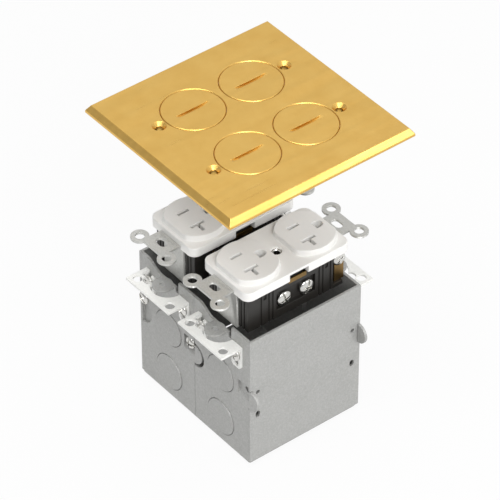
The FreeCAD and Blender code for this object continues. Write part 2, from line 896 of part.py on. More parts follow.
def outlet_centres():
    return [-outlet_spacing / 2, outlet_spacing / 2]


shutter_half_y = neutral_slot_length / 2 + 0.5
spring_row = shutter_half_y + spring_radius + spring_wire + shutter_gap


# Closed shutter: it covers the hot slot on the left and the whole T slot on the right.
def shutter_ends(cx):
    left = cx - blade_half_spacing - slot_width / 2 - 0.1
    right = cx + blade_half_spacing + slot_width / 2 + cross_slot_length + 0.1
    return left, right


def make_shutter(side, cx, place_name, cy):
    blades = cy - blade_offset
    left, right = shutter_ends(cx)
    low = strap_top - base_below + shutter_gap
    high = strap_top + face_height - shutter_skin - shutter_gap
    solid = block((left, right), (blades - shutter_half_y, blades + shutter_half_y), (low, high))
    arm = block((right - 2, right), (blades, blades + spring_row + spring_radius), (low, high))
    hot_open = cx - blade_half_spacing + shutter_travel
    half = slot_width / 2 + 0.2
    window = block((hot_open - half, hot_open + half), (blades - 4, blades + 4), (low - 1, high + 1))
    # Ramps that the two blades push down on to drive the slide sideways.
    slope = high - low
    ramps = []
    for x, reach in ((left, slot_width + 0.6), (cx + blade_half_spacing - slot_width / 2 - 0.2, slope)):
        ramp = doc.addObject("Part::Wedge", f"ramp_{side}_{place_name}")
        for prop, value in (("Xmin", 0), ("Xmax", reach), ("X2min", 0), ("X2max", 0.01)):
            bind(ramp, prop, value)
        for prop, value in (("Zmin", 0), ("Zmax", 7), ("Z2min", 0), ("Z2max", 7)):
            bind(ramp, prop, value)
        bind(ramp, "Ymin", 0)
        bind(ramp, "Ymax", slope * 0.7)
        ramp.Placement = FreeCAD.Placement(FreeCAD.Vector(), FreeCAD.Rotation(FreeCAD.Vector(1, 0, 0), -90))
        bind(ramp, "Placement.Base.x", x)
        bind(ramp, "Placement.Base.y", blades - 3.5)
        bind(ramp, "Placement.Base.z", high + 0.01)
        ramps.append(ramp)
    slide = cut(join([solid, arm]), [window] + ramps, f"slide_{side}_{place_name}")
    finish(f"shutter_{side}_{place_name}", slide)
    # Coil spring between the arm and the end of the room, as a wire swept along a helix.
    start = left - shutter_travel - shutter_gap
    length = right - 2 - start - 0.6
    helix = new("Part::Helix", "coil_path")
    bind(helix, "Pitch", spring_pitch)
    bind(helix, "Height", length - spring_wire * 2)
    bind(helix, "Radius", spring_radius)
    helix.SegmentLength = 1
    wire = new("Part::RegularPolygon", "coil_wire")
    wire.Polygon = 4
    bind(wire, "Circumradius", spring_wire)
    place(helix, start + 0.3 + spring_wire, blades + spring_row, (low + high) / 2, "x")
    wire.Placement = FreeCAD.Placement(FreeCAD.Vector(), FreeCAD.Rotation(FreeCAD.Vector(1, 0, 0), 90))
    bind(wire, "Placement.Base.x", start + 0.3 + spring_wire)
    bind(wire, "Placement.Base.y", blades + spring_row)
    bind(wire, "Placement.Base.z", (low + high) / 2 - spring_radius)
    coil = new("Part::Sweep", "coil")
    doc.recompute()
    coil.Sections = [wire]
    coil.Spine = (helix, [])
    coil.Solid = True
    coil.Frenet = True
    finish(f"shutter_spring_{side}_{place_name}", coil)


def make_face(side, cx):
    top = strap_top + base_above
    base = round_block(
        (cx - base_half_width, cx + base_half_width),
        (-base_half_length, base_half_length),
        (strap_top - base_below, top),
        base_corner,
    )
    crown_top = strap_top + face_height
    crowns, tools = [], []
    rise = face_height - base_above + 1
    for cy in outlet_centres():
        drum = taper(cx, cy, top - 1, face_radius + face_draft, face_radius, rise)
        flats = block(
            (cx - face_radius - 2, cx + face_radius + 2),
            (cy - face_flat, cy + face_flat),
            (top - 2, crown_top + 1),
        )
        crowns.append(overlap([drum, flats]))
        blades = cy - blade_offset
        # Room for the sliding shutter, and beside it for its spring.
        room_low, room_high = strap_top - base_below - 1, crown_top - shutter_skin
        shut_left, shut_right = shutter_ends(cx)
        tools.append(
            block(
                (shut_left - shutter_travel - shutter_gap, shut_right + shutter_gap),
                (blades - shutter_half_y - shutter_gap, blades + shutter_half_y + shutter_gap),
                (room_low, room_high),
            )
        )
        tools.append(
            block(
                (shut_left - shutter_travel - shutter_gap, shut_right + shutter_gap),
                (blades, blades + spring_row + spring_radius + spring_wire + shutter_gap),
                (room_low, room_high),
            )
        )
        through = (strap_top - 1, crown_top + 1)
        hot, neutral = cx - blade_half_spacing, cx + blade_half_spacing
        half = slot_width / 2
        for x, length in ((hot, hot_slot_length), (neutral, neutral_slot_length)):
            tall = (blades - length / 2, blades + length / 2)
            tools.append(block((x - half, x + half), tall, through))
        tools.append(
            block((neutral, neutral + half + cross_slot_length), (blades - half, blades + half), through)
        )
        ground_y = blades + ground_distance
        under = strap_top - base_below - 1
        deep = face_height + base_below + 2
        tools.append(rod(cx, ground_y, under, ground_hole_radius, deep))
        tools.append(
            block(
                (cx - ground_hole_radius, cx + ground_hole_radius),
                (ground_y - ground_hole_radius, ground_y),
                (strap_top - base_below - 1, crown_top + 1),
            )
        )
    # Room for the strap ends under the rim, the side notches of the links and the middle bush.
    for end in (-1, 1):
        near, far = body_half_length - 0.2, base_half_length + 1
        y = (-far, -near) if end < 0 else (near, far)
        half = strap_half_width + 0.2
        tools.append(block((cx - half, cx + half), y, (strap_top - base_below - 1, strap_top)))
    for flank in (-1, 1):
        notch = (base_half_width - link_notch_depth, base_half_width + 1)
        across = (-link_notch_half, link_notch_half)
        tools.append(block(flanked(cx, flank, notch), across, from_strap((-base_below - 1, link_notch_top))))
    tools.append(rod(cx, 0, strap_top - base_below - 1, bush_radius, base_below + 1 + base_above - 0.8))
    tools.append(taper(cx, 0, top - 0.8, bush_radius, bush_radius + 1.2, 0.9))
    finish(f"face_{side}", cut(join([base] + crowns), tools, f"face_{side}"))


# Extents of the two outlet contacts and the rail that joins them, seen from one flank.
def contact_boxes(cx, flank, grow=0):
    sheet_half = contact_sheet / 2
    boxes = []
    rail = (rail_side - grow, rail_side + contact_sheet + grow)
    boxes.append((rail, (-25.5 - grow, 21.5 + grow), (-20 - grow, -4)))
    for cy in outlet_centres():
        blades = cy - blade_offset
        y = (blades - 3.6 - grow, blades + 3.6 + grow)
        for leaf in (blade_half_spacing - 1.2 - contact_sheet, blade_half_spacing + 1.2):
            boxes.append(((leaf - grow, leaf + contact_sheet + grow), y, (-18 - grow, -4)))
        bridge = (blade_half_spacing - 1.2 - contact_sheet - grow, rail_side + contact_sheet + grow)
        boxes.append((bridge, y, (-18 - contact_sheet - grow, -18 + grow)))
    # Tongues that carry the break-off link outside the body.
    for end in (-1, 1):
        y = (end * 5.2 - 0.8 - grow, end * 5.2 + 0.8 + grow)
        boxes.append(((rail_side - grow, base_half_width - 1.4), y, (-4.8 - grow, -4)))
    return boxes


def flanked(cx, flank, span):
    a, b = cx + as_size(span[0]) * flank, cx + as_size(span[1]) * flank
    return (a, b) if flank > 0 else (b, a)


def from_strap(span):
    return (strap_top + span[0], strap_top + span[1])


def make_body(side, cx):
    depth = (strap_top - body_depth, strap_top - base_below)
    solid = block((cx - body_half_width, cx + body_half_width), (-body_half_length, body_half_length), depth)
    # A raised step on each flank closes the notch behind the break-off link.
    steps = []
    for flank in (-1, 1):
        thick = (base_half_width - link_notch_depth + link_notch_gap, body_half_width)
        across = (link_notch_gap - link_notch_half, link_notch_half - link_notch_gap)
        tall = (-base_below - 1, link_notch_top - link_notch_gap)
        steps.append(block(flanked(cx, flank, thick), across, from_strap(tall)))
    solid = join([solid] + steps, "blank")
    tools = []
    for flank in (-1, 1):
        for x, y, z in contact_boxes(cx, flank, room):
            tall = (z[0], -base_below + 1)
            if as_size(z[1]).value < -10:
                tall = (z[0], z[1])
            tools.append(block(flanked(cx, flank, x), y, from_strap(tall)))
        # Bay around the two terminal screws, with a shank hole for each.
        bay = (body_half_width - terminal_recess, body_half_width + 1)
        tools.append(block(flanked(cx, flank, bay), (-13.2, 13.2), from_strap((-terminal_drop - 5, -8.6))))
        for end in (-1, 1):
            start = rail_side - 3.2 if flank > 0 else -(body_half_width + 1)
            tools.append(
                rod(cx + start, terminal_offset * end, strap_top - terminal_drop, screw_radius + 0.2,
                    body_half_width + 4.2 - rail_side, "x")
            )
            notch_y = (groove_row * end - 1, groove_row * end + 1)
            notch_x = (body_half_width - 0.8, body_half_width + 1)
            tools.append(block(flanked(cx, flank, notch_x), notch_y, from_strap((-9, 0))))
            # Upright grooves between the terminal bay and the end of the body.
            groove_x = (body_half_width - groove_depth, body_half_width + 1)
            tall = (-body_depth - 1, -base_below - 1.4)
            for step in (-2, -1, 1):
                middle = (groove_row + groove_pitch * step) * end
                groove_y = (middle - groove_width / 2, middle + groove_width / 2)
                tools.append(block(flanked(cx, flank, groove_x), groove_y, from_strap(tall)))
            for step in (0, 1):
                middle = end_groove_row + groove_pitch * step
                groove_x = (middle - groove_width / 2, middle + groove_width / 2)
                groove_y = (body_half_length - groove_depth, body_half_length + 1)
                tools.append(block(flanked(cx, flank, groove_x), flanked(0, end, groove_y), from_strap(tall)))
    # Wells for the ground contacts, the ground bar and its terminal corner.
    for cy in outlet_centres():
        ground_y = cy - blade_offset + ground_distance
        well = strap_top - ground_bar_drop - 0.3
        tools.append(rod(cx, ground_y, well, ground_hole_radius + 1.2, ground_bar_drop - 0.3))
    groove = from_strap((-ground_bar_drop - 0.3, ground_sheet - ground_bar_drop + 0.4))
    to_flank, to_end = cx + body_half_width + 1, body_half_length + 1
    tools.append(block((cx - ground_bar_half - 0.4, cx + ground_bar_half + 0.4), (-12.5, 31.2), groove))
    tools.append(block((cx - ground_bar_half - 0.4, to_flank), (ground_screw_row - 1.6, to_end), groove))
    corner = from_strap((-ground_bar_drop - 0.3, 0))
    tools.append(block((cx + ground_tab_x - 2, to_flank), (ground_screw_row - 4.6, to_end), corner))
    screw_hole_x = cx + ground_tab_x - 5.6
    ground_screw_z = strap_top - ground_screw_drop
    tools.append(rod(screw_hole_x, ground_screw_row, ground_screw_z, screw_radius + 0.2, 8, "x"))
    tools.append(rod(cx, 0, strap_top - 10, bush_radius, 10))
    for end in (-1, 1):
        x, y = cx + rivet_offset * end, -rivet_row * end
        tools.append(rod(x, y, strap_top - body_depth - 1, rivet_radius, body_depth + 1))
    finish(f"body_{side}", cut(solid, tools, f"body_{side}"))


def make_strap(side, cx):
    plates, tools = [], []
    under = strap_top - body_depth - strap_thickness
    half = strap_half_width
    for end in (-1, 1):
        inner, outer = body_half_length * end, strap_half_length * end
        y = (outer, inner) if end < 0 else (inner, outer)
        plates.append(round_block((cx - half, cx + half), y, (strap_top - strap_thickness, strap_top), 1.2))
        skin = (body_half_length + strap_thickness) * end
        leg_y = (skin, inner) if end < 0 else (inner, skin)
        plates.append(block((cx - half, cx + half), leg_y, (under, strap_top)))
        sheet_low, through = strap_top - strap_thickness, strap_thickness + 2
        for ear in (-1, 1):
            x, y = cx + ring_side * ear, ring_end * end
            plates.append(rod(x, y, sheet_low, ring_radius, strap_thickness))
            tools.append(rod(x, y, sheet_low - 1, ring_hole_radius, through))
        slot = (cx, device_spacing / 2 * end, sheet_low - 1)
        tools.append(long_hole(slot, strap_slot_radius, strap_slot_length, "x", "z", through))
        # Raised bar and dimple pressed into the strap end.
        bar_y = (strap_bar_row * end - 0.5, strap_bar_row * end + 0.5)
        bar_z = (strap_top - 0.5, strap_top + 0.35)
        plates.append(block((cx - strap_bar_half, cx + strap_bar_half), bar_y, bar_z))
        dimple_x, dimple_y = cx + (strap_bar_half - 0.9) * end, (strap_bar_row + 2.4) * end
        plates.append(rod(dimple_x, dimple_y, strap_top - 0.5, 1.5, 0.8))
    reach = body_half_length + strap_thickness
    plates.append(block((cx - half, cx + half), (-reach, reach), (under, under + strap_thickness)))
    for end in (-1, 1):
        x, y = cx + rivet_offset * end, -rivet_row * end
        tools.append(rod(x, y, under - 1, rivet_radius, strap_thickness + 2))
    finish(f"strap_{side}", cut(join(plates), tools, f"strap_{side}"))


def make_contacts(side, cx, flank, name):
    pieces = [block(flanked(cx, flank, x), y, from_strap(z)) for x, y, z in contact_boxes(cx, flank)]
    link = (base_half_width - 2.2, base_half_width - 1.4)
    pieces.append(block(flanked(cx, flank, link), (-6, 6), from_strap((-5, -2.2))))
    tools = []
    for end in (-1, 1):
        start = rail_side - 1 if flank > 0 else -(rail_side + contact_sheet + 1)
        y, z = terminal_offset * end, strap_top - terminal_drop
        tools.append(rod(cx + start, y, z, screw_radius, contact_sheet + 2, "x"))
    finish(f"{name}_contacts_{side}", cut(join(pieces), tools, f"{name}_contacts_{side}"))
    screws = []
    for end in (-1, 1):
        screws.append(
            slotted_screw(
                cx + (body_half_width - terminal_recess + clamp_thickness) * flank,
                terminal_offset * end,
                strap_top - terminal_drop,
                "x",
                flank,
                screw_radius,
                body_half_width - terminal_recess + clamp_thickness - rail_side + 1.5,
                terminal_head_radius,
                terminal_head_height,
                1,
            )
        )
    finish(f"{name}_screws_{side}", gather(screws, f"{name}_screws_{side}"))


def make_ground(side, cx):
    pieces, tools = [], []
    for cy in outlet_centres():
        ground_y = cy - blade_offset + ground_distance
        bottom = strap_top - ground_bar_drop + 0.3
        pieces.append(rod(cx, ground_y, bottom, ground_hole_radius + 0.9, ground_tube))
        tools.append(rod(cx, ground_y, bottom + 1.4, ground_hole_radius, ground_tube))
    low = (-ground_bar_drop, ground_sheet - ground_bar_drop)
    bar, tab_outer = (cx - ground_bar_half, cx + ground_bar_half), cx + ground_tab_x
    pieces.append(block(bar, (-11, ground_screw_row + 0.4), from_strap(low)))
    across = (ground_screw_row - 1.2, ground_screw_row + 1.6)
    pieces.append(block((cx - ground_bar_half, tab_outer), across, from_strap(low)))
    tab = (ground_screw_row - 2.6, ground_screw_row + 3.8)
    pieces.append(block((tab_outer - 1.2, tab_outer), tab, from_strap((-ground_bar_drop, -4.2))))
    ground_screw_z = strap_top - ground_screw_drop
    tools.append(rod(tab_outer - 2.2, ground_screw_row, ground_screw_z, screw_radius, 4, "x"))
    finish(f"ground_contacts_{side}", cut(join(pieces), tools, f"ground_contacts_{side}"))
    screw = slotted_screw(tab_outer, ground_screw_row, ground_screw_z, "x", 1, screw_radius,
                          ground_screw_length, terminal_head_radius, terminal_head_height, 1)
    finish(f"ground_screw_{side}", screw)


def make_small_parts(side, cx):
    clamps = []
    for flank in (-1, 1):
        x = (body_half_width - terminal_recess, body_half_width - terminal_recess + clamp_thickness)
        for end in (-1, 1):
            y = (terminal_offset * end - clamp_half, terminal_offset * end + clamp_half)
            z = (-terminal_drop - clamp_half, -terminal_drop + clamp_half)
            plate = block(flanked(cx, flank, x), y, from_strap(z))
            start = body_half_width - terminal_recess - 1 if flank > 0 else -(body_half_width + 1)
            hole = rod(cx + start, terminal_offset * end, strap_top - terminal_drop, screw_radius, 4, "x")
            clamps.append(cut(plate, [hole]))
    finish(f"wire_clamps_{side}", gather(clamps, f"wire_clamps_{side}"))
    tube = rod(cx, 0, strap_top - 9.6, bush_radius, 9.6 + base_above - 1.2)
    bore = rod(cx, 0, strap_top - 10.6, device_screw_radius, 9.6 + base_above + 2)
    finish(f"middle_bush_{side}", cut(tube, [bore], f"middle_bush_{side}"))
    rivets = []
    under = strap_top - body_depth - strap_thickness
    for end in (-1, 1):
        x, y = cx + rivet_offset * end, -rivet_row * end
        shank = rod(x, y, under, rivet_radius, body_depth + strap_thickness - base_below)
        head = taper(x, y, under - 0.9, rivet_radius * 1.3, rivet_radius * 2, 0.9)
        rivets.append(join([shank, head], "rivet"))
    finish(f"rivets_{side}", gather(rivets, f"rivets_{side}"))


for side, sign in (("right", 1), ("left", -1)):
    cx = gang_pitch / 2 * sign
    make_face(side, cx)
    make_body(side, cx)
    make_strap(side, cx)
    make_contacts(side, cx, -1, "hot")
    make_contacts(side, cx, 1, "neutral")
    make_ground(side, cx)
    make_small_parts(side, cx)
    for place_name, cy in zip(("front", "back"), outlet_centres()):
        make_shutter(side, cx, place_name, cy)

# Brass cover with four screwed-in discs, each on its own rubber seal.
gasket_low = box_height + cover_lift
cover_low = gasket_low + gasket_thickness
cover_top = cover_low + cover_thickness
spots = []
for place_name, end in (("front", -1), ("back", 1)):
    for side, sign in (("left", -1), ("right", 1)):
        spots.append((f"{side}_{place_name}", gang_pitch / 2 * sign, outlet_spacing / 2 * end))
screw_spots = []
for sign in (-1, 1):
    for end in (-1, 1):
        screw_spots.append((gang_pitch / 2 * sign, device_spacing / 2 * end))

cover = start_body("cover")
cover_plan = start_sketch(cover, "cover_plan", "XY_Plane", cover_low)
w, l = cover_half_width, cover_half_length
draw_outline(cover_plan, [(-w, -l), (w, -l), (w, l), (-w, l)])
pad(cover, cover_plan, cover_thickness)


def top_rim(edge):
    return abs(edge.CenterOfMass.z - cover_top.value) < 0.01


bevel_edges = edge_names(cover.Tip.Shape, top_rim)
slab = cover.Tip
bevel = cover.newObject("PartDesign::Chamfer", "cover_bevel")
bevel.Base = (slab, bevel_edges)
bevel.ChamferType = "Two distances"
bind(bevel, "Size", cover_bevel)
bind(bevel, "Size2", cover_bevel_drop)
doc.recompute()
bores = start_sketch(cover, "cover_bores", "XY_Plane", cover_top)
for name, x, y in spots:
    draw_circle(bores, x, y, disc_bore_radius)
pocket(cover, bores, cover_thickness + 1, "bores")
screw_plan = start_sketch(cover, "cover_screw_plan", "XY_Plane", cover_top)
for x, y in screw_spots:
    draw_circle(screw_plan, x, y, cover_screw_radius)
pocket(cover, screw_plan, cover_thickness + 1, "screw_holes")
sinks = []
for x, y in screw_spots:
    sinks.append(
        taper(x, y, cover_top - (countersink_radius - cover_screw_radius), cover_screw_radius,
              countersink_radius + 0.5, countersink_radius - cover_screw_radius + 0.5)
    )
for name, x, y in spots:
    sinks.append(
        taper(x, y, cover_top - disc_chamfer, disc_bore_radius, disc_bore_radius + disc_chamfer + 0.2,
              disc_chamfer + 0.2)
    )
finish("cover_plate", cut(cover, sinks, "cover_plate"))

gasket = block(
    (-w + gasket_margin, w - gasket_margin),
    (-l + gasket_margin, l - gasket_margin),
    (gasket_low, cover_low),
)
holes = [rod(x, y, gasket_low - 1, disc_bore_radius + 0.8, gasket_thickness + 2) for name, x, y in spots]
holes += [rod(x, y, gasket_low - 1, cover_screw_radius + 0.3, gasket_thickness + 2) for x, y in screw_spots]
finish("cover_gasket", cut(gasket, holes, "cover_gasket"))

disc_radius = disc_bore_radius - disc_clearance
for name, x, y in spots:
    body = start_body(f"disc_blank_{name}")
    profile = start_sketch(body, f"disc_{name}_profile", "XZ_Plane", -y)
    low = cover_top - disc_thickness
    shoulder = low + seal_height
    neck = disc_radius - seal_width
    draw_outline(
        profile,
        [
            (x, low),
            (x + neck, low),
            (x + neck, shoulder),
            (x + disc_radius, shoulder),
            (x + disc_radius, cover_top - disc_chamfer),
            (x + disc_radius - disc_chamfer, cover_top),
            (x, cover_top),
        ],
    )
    turned = body.newObject("PartDesign::Revolution", f"disc_{name}_turned")
    turned.Profile = profile
    turned.ReferenceAxis = (profile, ["Edge7"])
    turned.Angle = 360
    doc.recompute()
    cutter_rise = coin_cutter_radius * coin_cutter_radius - coin_slot_length * coin_slot_length / 4
    lift = Size(f"sqrt({cutter_rise.text})", math.sqrt(cutter_rise.value))
    cutter = rod(x - coin_slot_width / 2, y, cover_top + lift, coin_cutter_radius, coin_slot_width, "x")
    finish(f"disc_{name}", cut(body, [cutter], f"slotted_disc_{name}"))
    outer = rod(x, y, low, disc_radius - 0.1, seal_height)
    inner = rod(x, y, low - 1, neck, seal_height + 2)
    finish(f"seal_{name}", cut(outer, [inner], f"seal_ring_{name}"))

doc.recompute()

failed = [thing.Name for thing in doc.Objects if "Invalid" in thing.State or "Error" in thing.State]
for name, thing in nodes.items():
    if thing.Shape.isNull() or not thing.Shape.isValid():
        failed.append(name)
if failed:
    raise ValueError(f"not built: {failed}")

os.makedirs("parts", exist_ok=True)
for name, thing in nodes.items():
    thing.Shape.exportStep(f"parts/{name}.step")
    print(name, len(thing.Shape.Solids), round(thing.Shape.Volume, 1))
print("nodes", len(nodes))
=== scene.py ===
import math
import bmesh
import bpy
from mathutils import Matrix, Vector
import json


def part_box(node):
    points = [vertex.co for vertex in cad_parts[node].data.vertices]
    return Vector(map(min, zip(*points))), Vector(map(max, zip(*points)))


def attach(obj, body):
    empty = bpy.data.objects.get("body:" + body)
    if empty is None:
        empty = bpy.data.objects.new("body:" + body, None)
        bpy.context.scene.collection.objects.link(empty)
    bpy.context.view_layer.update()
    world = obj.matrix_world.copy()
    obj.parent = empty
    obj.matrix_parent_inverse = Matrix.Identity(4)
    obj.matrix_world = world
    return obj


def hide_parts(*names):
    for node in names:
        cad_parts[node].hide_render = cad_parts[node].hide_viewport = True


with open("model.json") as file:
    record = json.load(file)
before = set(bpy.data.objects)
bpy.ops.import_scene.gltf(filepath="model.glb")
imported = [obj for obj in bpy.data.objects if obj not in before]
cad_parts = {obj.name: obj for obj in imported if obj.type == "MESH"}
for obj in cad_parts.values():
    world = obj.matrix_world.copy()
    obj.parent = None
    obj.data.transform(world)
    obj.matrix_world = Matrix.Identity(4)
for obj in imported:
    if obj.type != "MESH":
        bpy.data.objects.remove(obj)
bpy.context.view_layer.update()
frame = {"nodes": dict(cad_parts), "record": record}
nodes = frame["nodes"]
bodyOf = {}
for bodyName, names in frame["record"]["behaviour"]["bodies"].items():
    for nodeName in names:
        bodyOf[nodeName] = bodyName
sides = ("right", "left")
places = ("front", "back")
spots = [f"{side}_{place}" for side in sides for place in places]
mm = 0.001  # sizes are typed in millimetres and built in metres
past = 1.0  # every cutter runs this far past what it cuts


def srgb(text):
    channels = [int(text[k:k + 2], 16) / 255 for k in (0, 2, 4)]
    linear = [c / 12.92 if c <= 0.04045 else ((c + 0.055) / 1.055) ** 2.4 for c in channels]
    return (*linear, 1.0)


# Materials: one small function adds a node, sets its inputs and links it.
def addNode(tree, kind, values=None, **settings):
    node = tree.nodes.new(kind)
    for name, value in settings.items():
        setattr(node, name, value)
    for name, value in (values or {}).items():
        if isinstance(value, bpy.types.NodeSocket):
            tree.links.new(value, node.inputs[name])
        else:
            node.inputs[name].default_value = value
    return node


def startMaterial(name):
    material = bpy.data.materials.new(name)
    material.use_nodes = True
    tree = material.node_tree
    tree.nodes.clear()
    shader = addNode(tree, "ShaderNodeBsdfPrincipled")
    addNode(tree, "ShaderNodeOutputMaterial", {"Surface": shader.outputs["BSDF"]})
    coords = addNode(tree, "ShaderNodeTexCoord")
    return material, tree, shader, coords.outputs["Object"]


# Tints laid over a base colour, a roughness that varies with a pattern, and fine relief over
# edges that the shading rounds. Each pattern's range is spread to the shares given with it.
def dress(tree, shader, colour, tints, rough, relief):
    for pattern, start, stop, least, most, tint in tints:
        spread = {"Value": pattern, "From Min": start, "From Max": stop, "To Min": least, "To Max": most}
        share = addNode(tree, "ShaderNodeMapRange", spread).outputs["Result"]
        layers = {0: share, 6: colour, 7: srgb(tint)}
        colour = addNode(tree, "ShaderNodeMix", layers, data_type="RGBA").outputs[2]
    tree.links.new(colour, shader.inputs["Base Color"])
    pattern, usual, change = rough
    least, most = usual - change, usual + change
    spread = {"Value": pattern, "From Min": 0.3, "From Max": 0.7, "To Min": least, "To Max": most}
    tree.links.new(addNode(tree, "ShaderNodeMapRange", spread).outputs["Result"], shader.inputs["Roughness"])
    pattern, strength, depth, edge = relief
    rounded = addNode(tree, "ShaderNodeBevel", {"Radius": edge * mm}, samples=6).outputs["Normal"]
    height = {"Height": pattern, "Strength": strength, "Distance": depth * mm, "Normal": rounded}
    tree.links.new(addNode(tree, "ShaderNodeBump", height).outputs["Normal"], shader.inputs["Normal"])


# Zinc on sheet steel: crystal patches of the given size in millimetres, faint clouds of 22 mm and a
# grain of 1.1 mm. The real grain is near 0.1 mm and wouldn't show.
def zincMaterial(name, light, dark, roughness, metallic, spangle, edge=0.3):
    zinc = dict(warp=8.3, warpShare=0.12, clouds=22, grain=1.1, grainDepth=0.1, grainStrength=0.12)
    material, tree, shader, place = startMaterial(name)
    waves = {"Vector": place, "Scale": 1 / (zinc["warp"] * mm), "Detail": 2.0, "Roughness": 0.5}
    waves = addNode(tree, "ShaderNodeTexNoise", waves).outputs["Color"]
    bent = {0: zinc["warpShare"], 6: place, 7: waves}
    warped = addNode(tree, "ShaderNodeMix", bent, data_type="RGBA").outputs[2]
    cells = {"Vector": warped, "Scale": 1 / (spangle * mm)}
    crystals = addNode(tree, "ShaderNodeTexVoronoi", cells).outputs["Color"]
    patches = addNode(tree, "ShaderNodeSeparateColor", {"Color": crystals}).outputs["Red"]
    clouds = {"Vector": place, "Scale": 1 / (zinc["clouds"] * mm), "Detail": 5.0, "Roughness": 0.55}
    clouds = addNode(tree, "ShaderNodeTexNoise", clouds).outputs["Fac"]
    grain = {"Vector": place, "Scale": 1 / (zinc["grain"] * mm), "Detail": 2.0, "Roughness": 0.55}
    grain = addNode(tree, "ShaderNodeTexNoise", grain).outputs["Fac"]
    tints = (
        (patches, 0.0, 1.0, 0.25, 0.75, light),
        (clouds, 0.3, 0.7, 0.0, 0.5, light),
        (grain, 0.42, 0.62, 0.0, 0.45, dark),
    )
    relief = (grain, zinc["grainStrength"], zinc["grainDepth"], edge)
    dress(tree, shader, srgb(dark), tints, (clouds, roughness, 0.06), relief)
    shader.inputs["Metallic"].default_value = metallic
    return material


# Moulded plastic: one even colour, with the mould's fine grain drawn at 0.55 mm so that it shows.
def plasticMaterial(name, colour, shade, roughness, edge, speckle=0.05):
    mould = dict(clouds=17, grain=0.55, grainDepth=0.05)
    material, tree, shader, place = startMaterial(name)
    clouds = {"Vector": place, "Scale": 1 / (mould["clouds"] * mm), "Detail": 4.0, "Roughness": 0.55}
    clouds = addNode(tree, "ShaderNodeTexNoise", clouds).outputs["Fac"]
    grain = {"Vector": place, "Scale": 1 / (mould["grain"] * mm), "Detail": 2.0, "Roughness": 0.55}
    grain = addNode(tree, "ShaderNodeTexNoise", grain).outputs["Fac"]
    tints = [(clouds, 0.3, 0.7, 0.0, 0.35, shade)]
    relief = (grain, speckle, mould["grainDepth"], edge)
    dress(tree, shader, srgb(colour), tints, (clouds, roughness, 0.05), relief)
    shader.inputs["IOR"].default_value = 1.49
    return material


# Bare or plated metal: clouds of tarnish 11 mm across and scratches of the given width in
# millimetres, far coarser than real ones, so that they show.
def metalMaterial(name, colour, shade, roughness, edge=0.2, scratch=4.5, stretch=(1, 1, 1), strength=0.06):
    wear = dict(clouds=11, scratchDepth=0.08)
    material, tree, shader, place = startMaterial(name)
    clouds = {"Vector": place, "Scale": 1 / (wear["clouds"] * mm), "Detail": 4.0, "Roughness": 0.55}
    clouds = addNode(tree, "ShaderNodeTexNoise", clouds).outputs["Fac"]
    drawn = addNode(tree, "ShaderNodeMapping", {"Vector": place, "Scale": stretch}).outputs["Vector"]
    scratches = {"Vector": drawn, "Scale": 1 / (scratch * mm), "Detail": 4.0, "Roughness": 0.7}
    scratches = addNode(tree, "ShaderNodeTexNoise", scratches).outputs["Fac"]
    tints = [(clouds, 0.3, 0.7, 0.0, 0.6, shade)]
    relief = (scratches, strength, wear["scratchDepth"], edge)
    dress(tree, shader, srgb(colour), tints, (scratches, roughness, 0.07), relief)
    shader.inputs["Metallic"].default_value = 1.0
    return material


materials = {
    # Galvanised sheet, hot-dipped and then stamped: dull mid grey, soft crystal patches, nothing mirrored.
    "galvanised_steel": zincMaterial("galvanised_steel", "B9B9B7", "9D9D9A", 0.46, 0.3, 6.2),
    # Zinc-plated sheet of the ears, stamped after plating: its pale grey raised to nearly white with painted
    # top light, the tone their flanges take when lit from above, and a faint gloss.
    "ear_steel": zincMaterial("zinc_steel_painted_toplight", "F6F6F3", "EAEAE6", 0.40, 0.15, 4.5),
    # Zinc-plated strap steel, rolled smooth: pale grey with soft light along its bends.
    "strap_steel": zincMaterial("zinc_plated_steel", "D0D0CC", "B6B6B2", 0.36, 0.35, 3.8),
    # Nickel-plated steel, turned and tumbled: bright heads that mirror light and dark in small spots.
    "screw_steel": metalMaterial("nickel_plated_steel", "DEDDD9", "BFBEBA", 0.2),
    # Spring wire, cold-drawn: darker grey with a thin line of light on each coil.
    "spring_steel": metalMaterial("spring_wire", "A6A6A8", "8A8A8C", 0.3),
    # White nylon, moulded in a satin mould: clean warm white with wide soft highlights.
    "white_plastic": plasticMaterial("white_nylon", "F3F2EF", "ECEBE7", 0.34, 0.7),
    # Black nylon, moulded: nearly black, its ribs told apart only by their sheen.
    "black_plastic": plasticMaterial("black_nylon", "262421", "1A1815", 0.42, 0.3),
    # Grey acetal, moulded: plain mid grey and waxy, seen dark behind the slots.
    "grey_plastic": plasticMaterial("grey_acetal", "8E8E8C", "828280", 0.45, 0.2),
    # Brass strip, punched and tarnished: brown gold with blurred reflections.
    "contact_brass": metalMaterial("tarnished_brass", "94794C", "665030", 0.34),
    # Nickel flashed over brass, turned: pale silver gold, as bright as the steel screws.
    "brass_screws": metalMaterial("plated_brass", "DCD3C0", "B9AE98", 0.22),
    # Cast brass, brushed one way and lacquered: warm gold whose reflections run out along the brushing.
    "cover_brass": metalMaterial("brushed_brass", "E6BD6A", "DCAF5A", 0.34, 0.3, 3.8, (1, 0.05, 1), 0.03),
    # Black rubber, moulded: matt black without any highlight.
    "rubber": plasticMaterial("black_rubber", "1C1C1B", "141413", 0.75, 0.3, 0.2),
}
slotOf = {part["node"]: part["material_slot"] for part in frame["record"]["subparts"]}
print("materials done")


# Mesh helpers.
def newObject(name, mesh):
    thing = bpy.data.objects.new(name, mesh)
    bpy.context.collection.objects.link(thing)
    return thing


def meshFrom(name, points, faces):
    mesh = bpy.data.meshes.new(name)
    mesh.from_pydata([Vector(point) * mm for point in points], [], faces)
    return newObject(name, mesh)


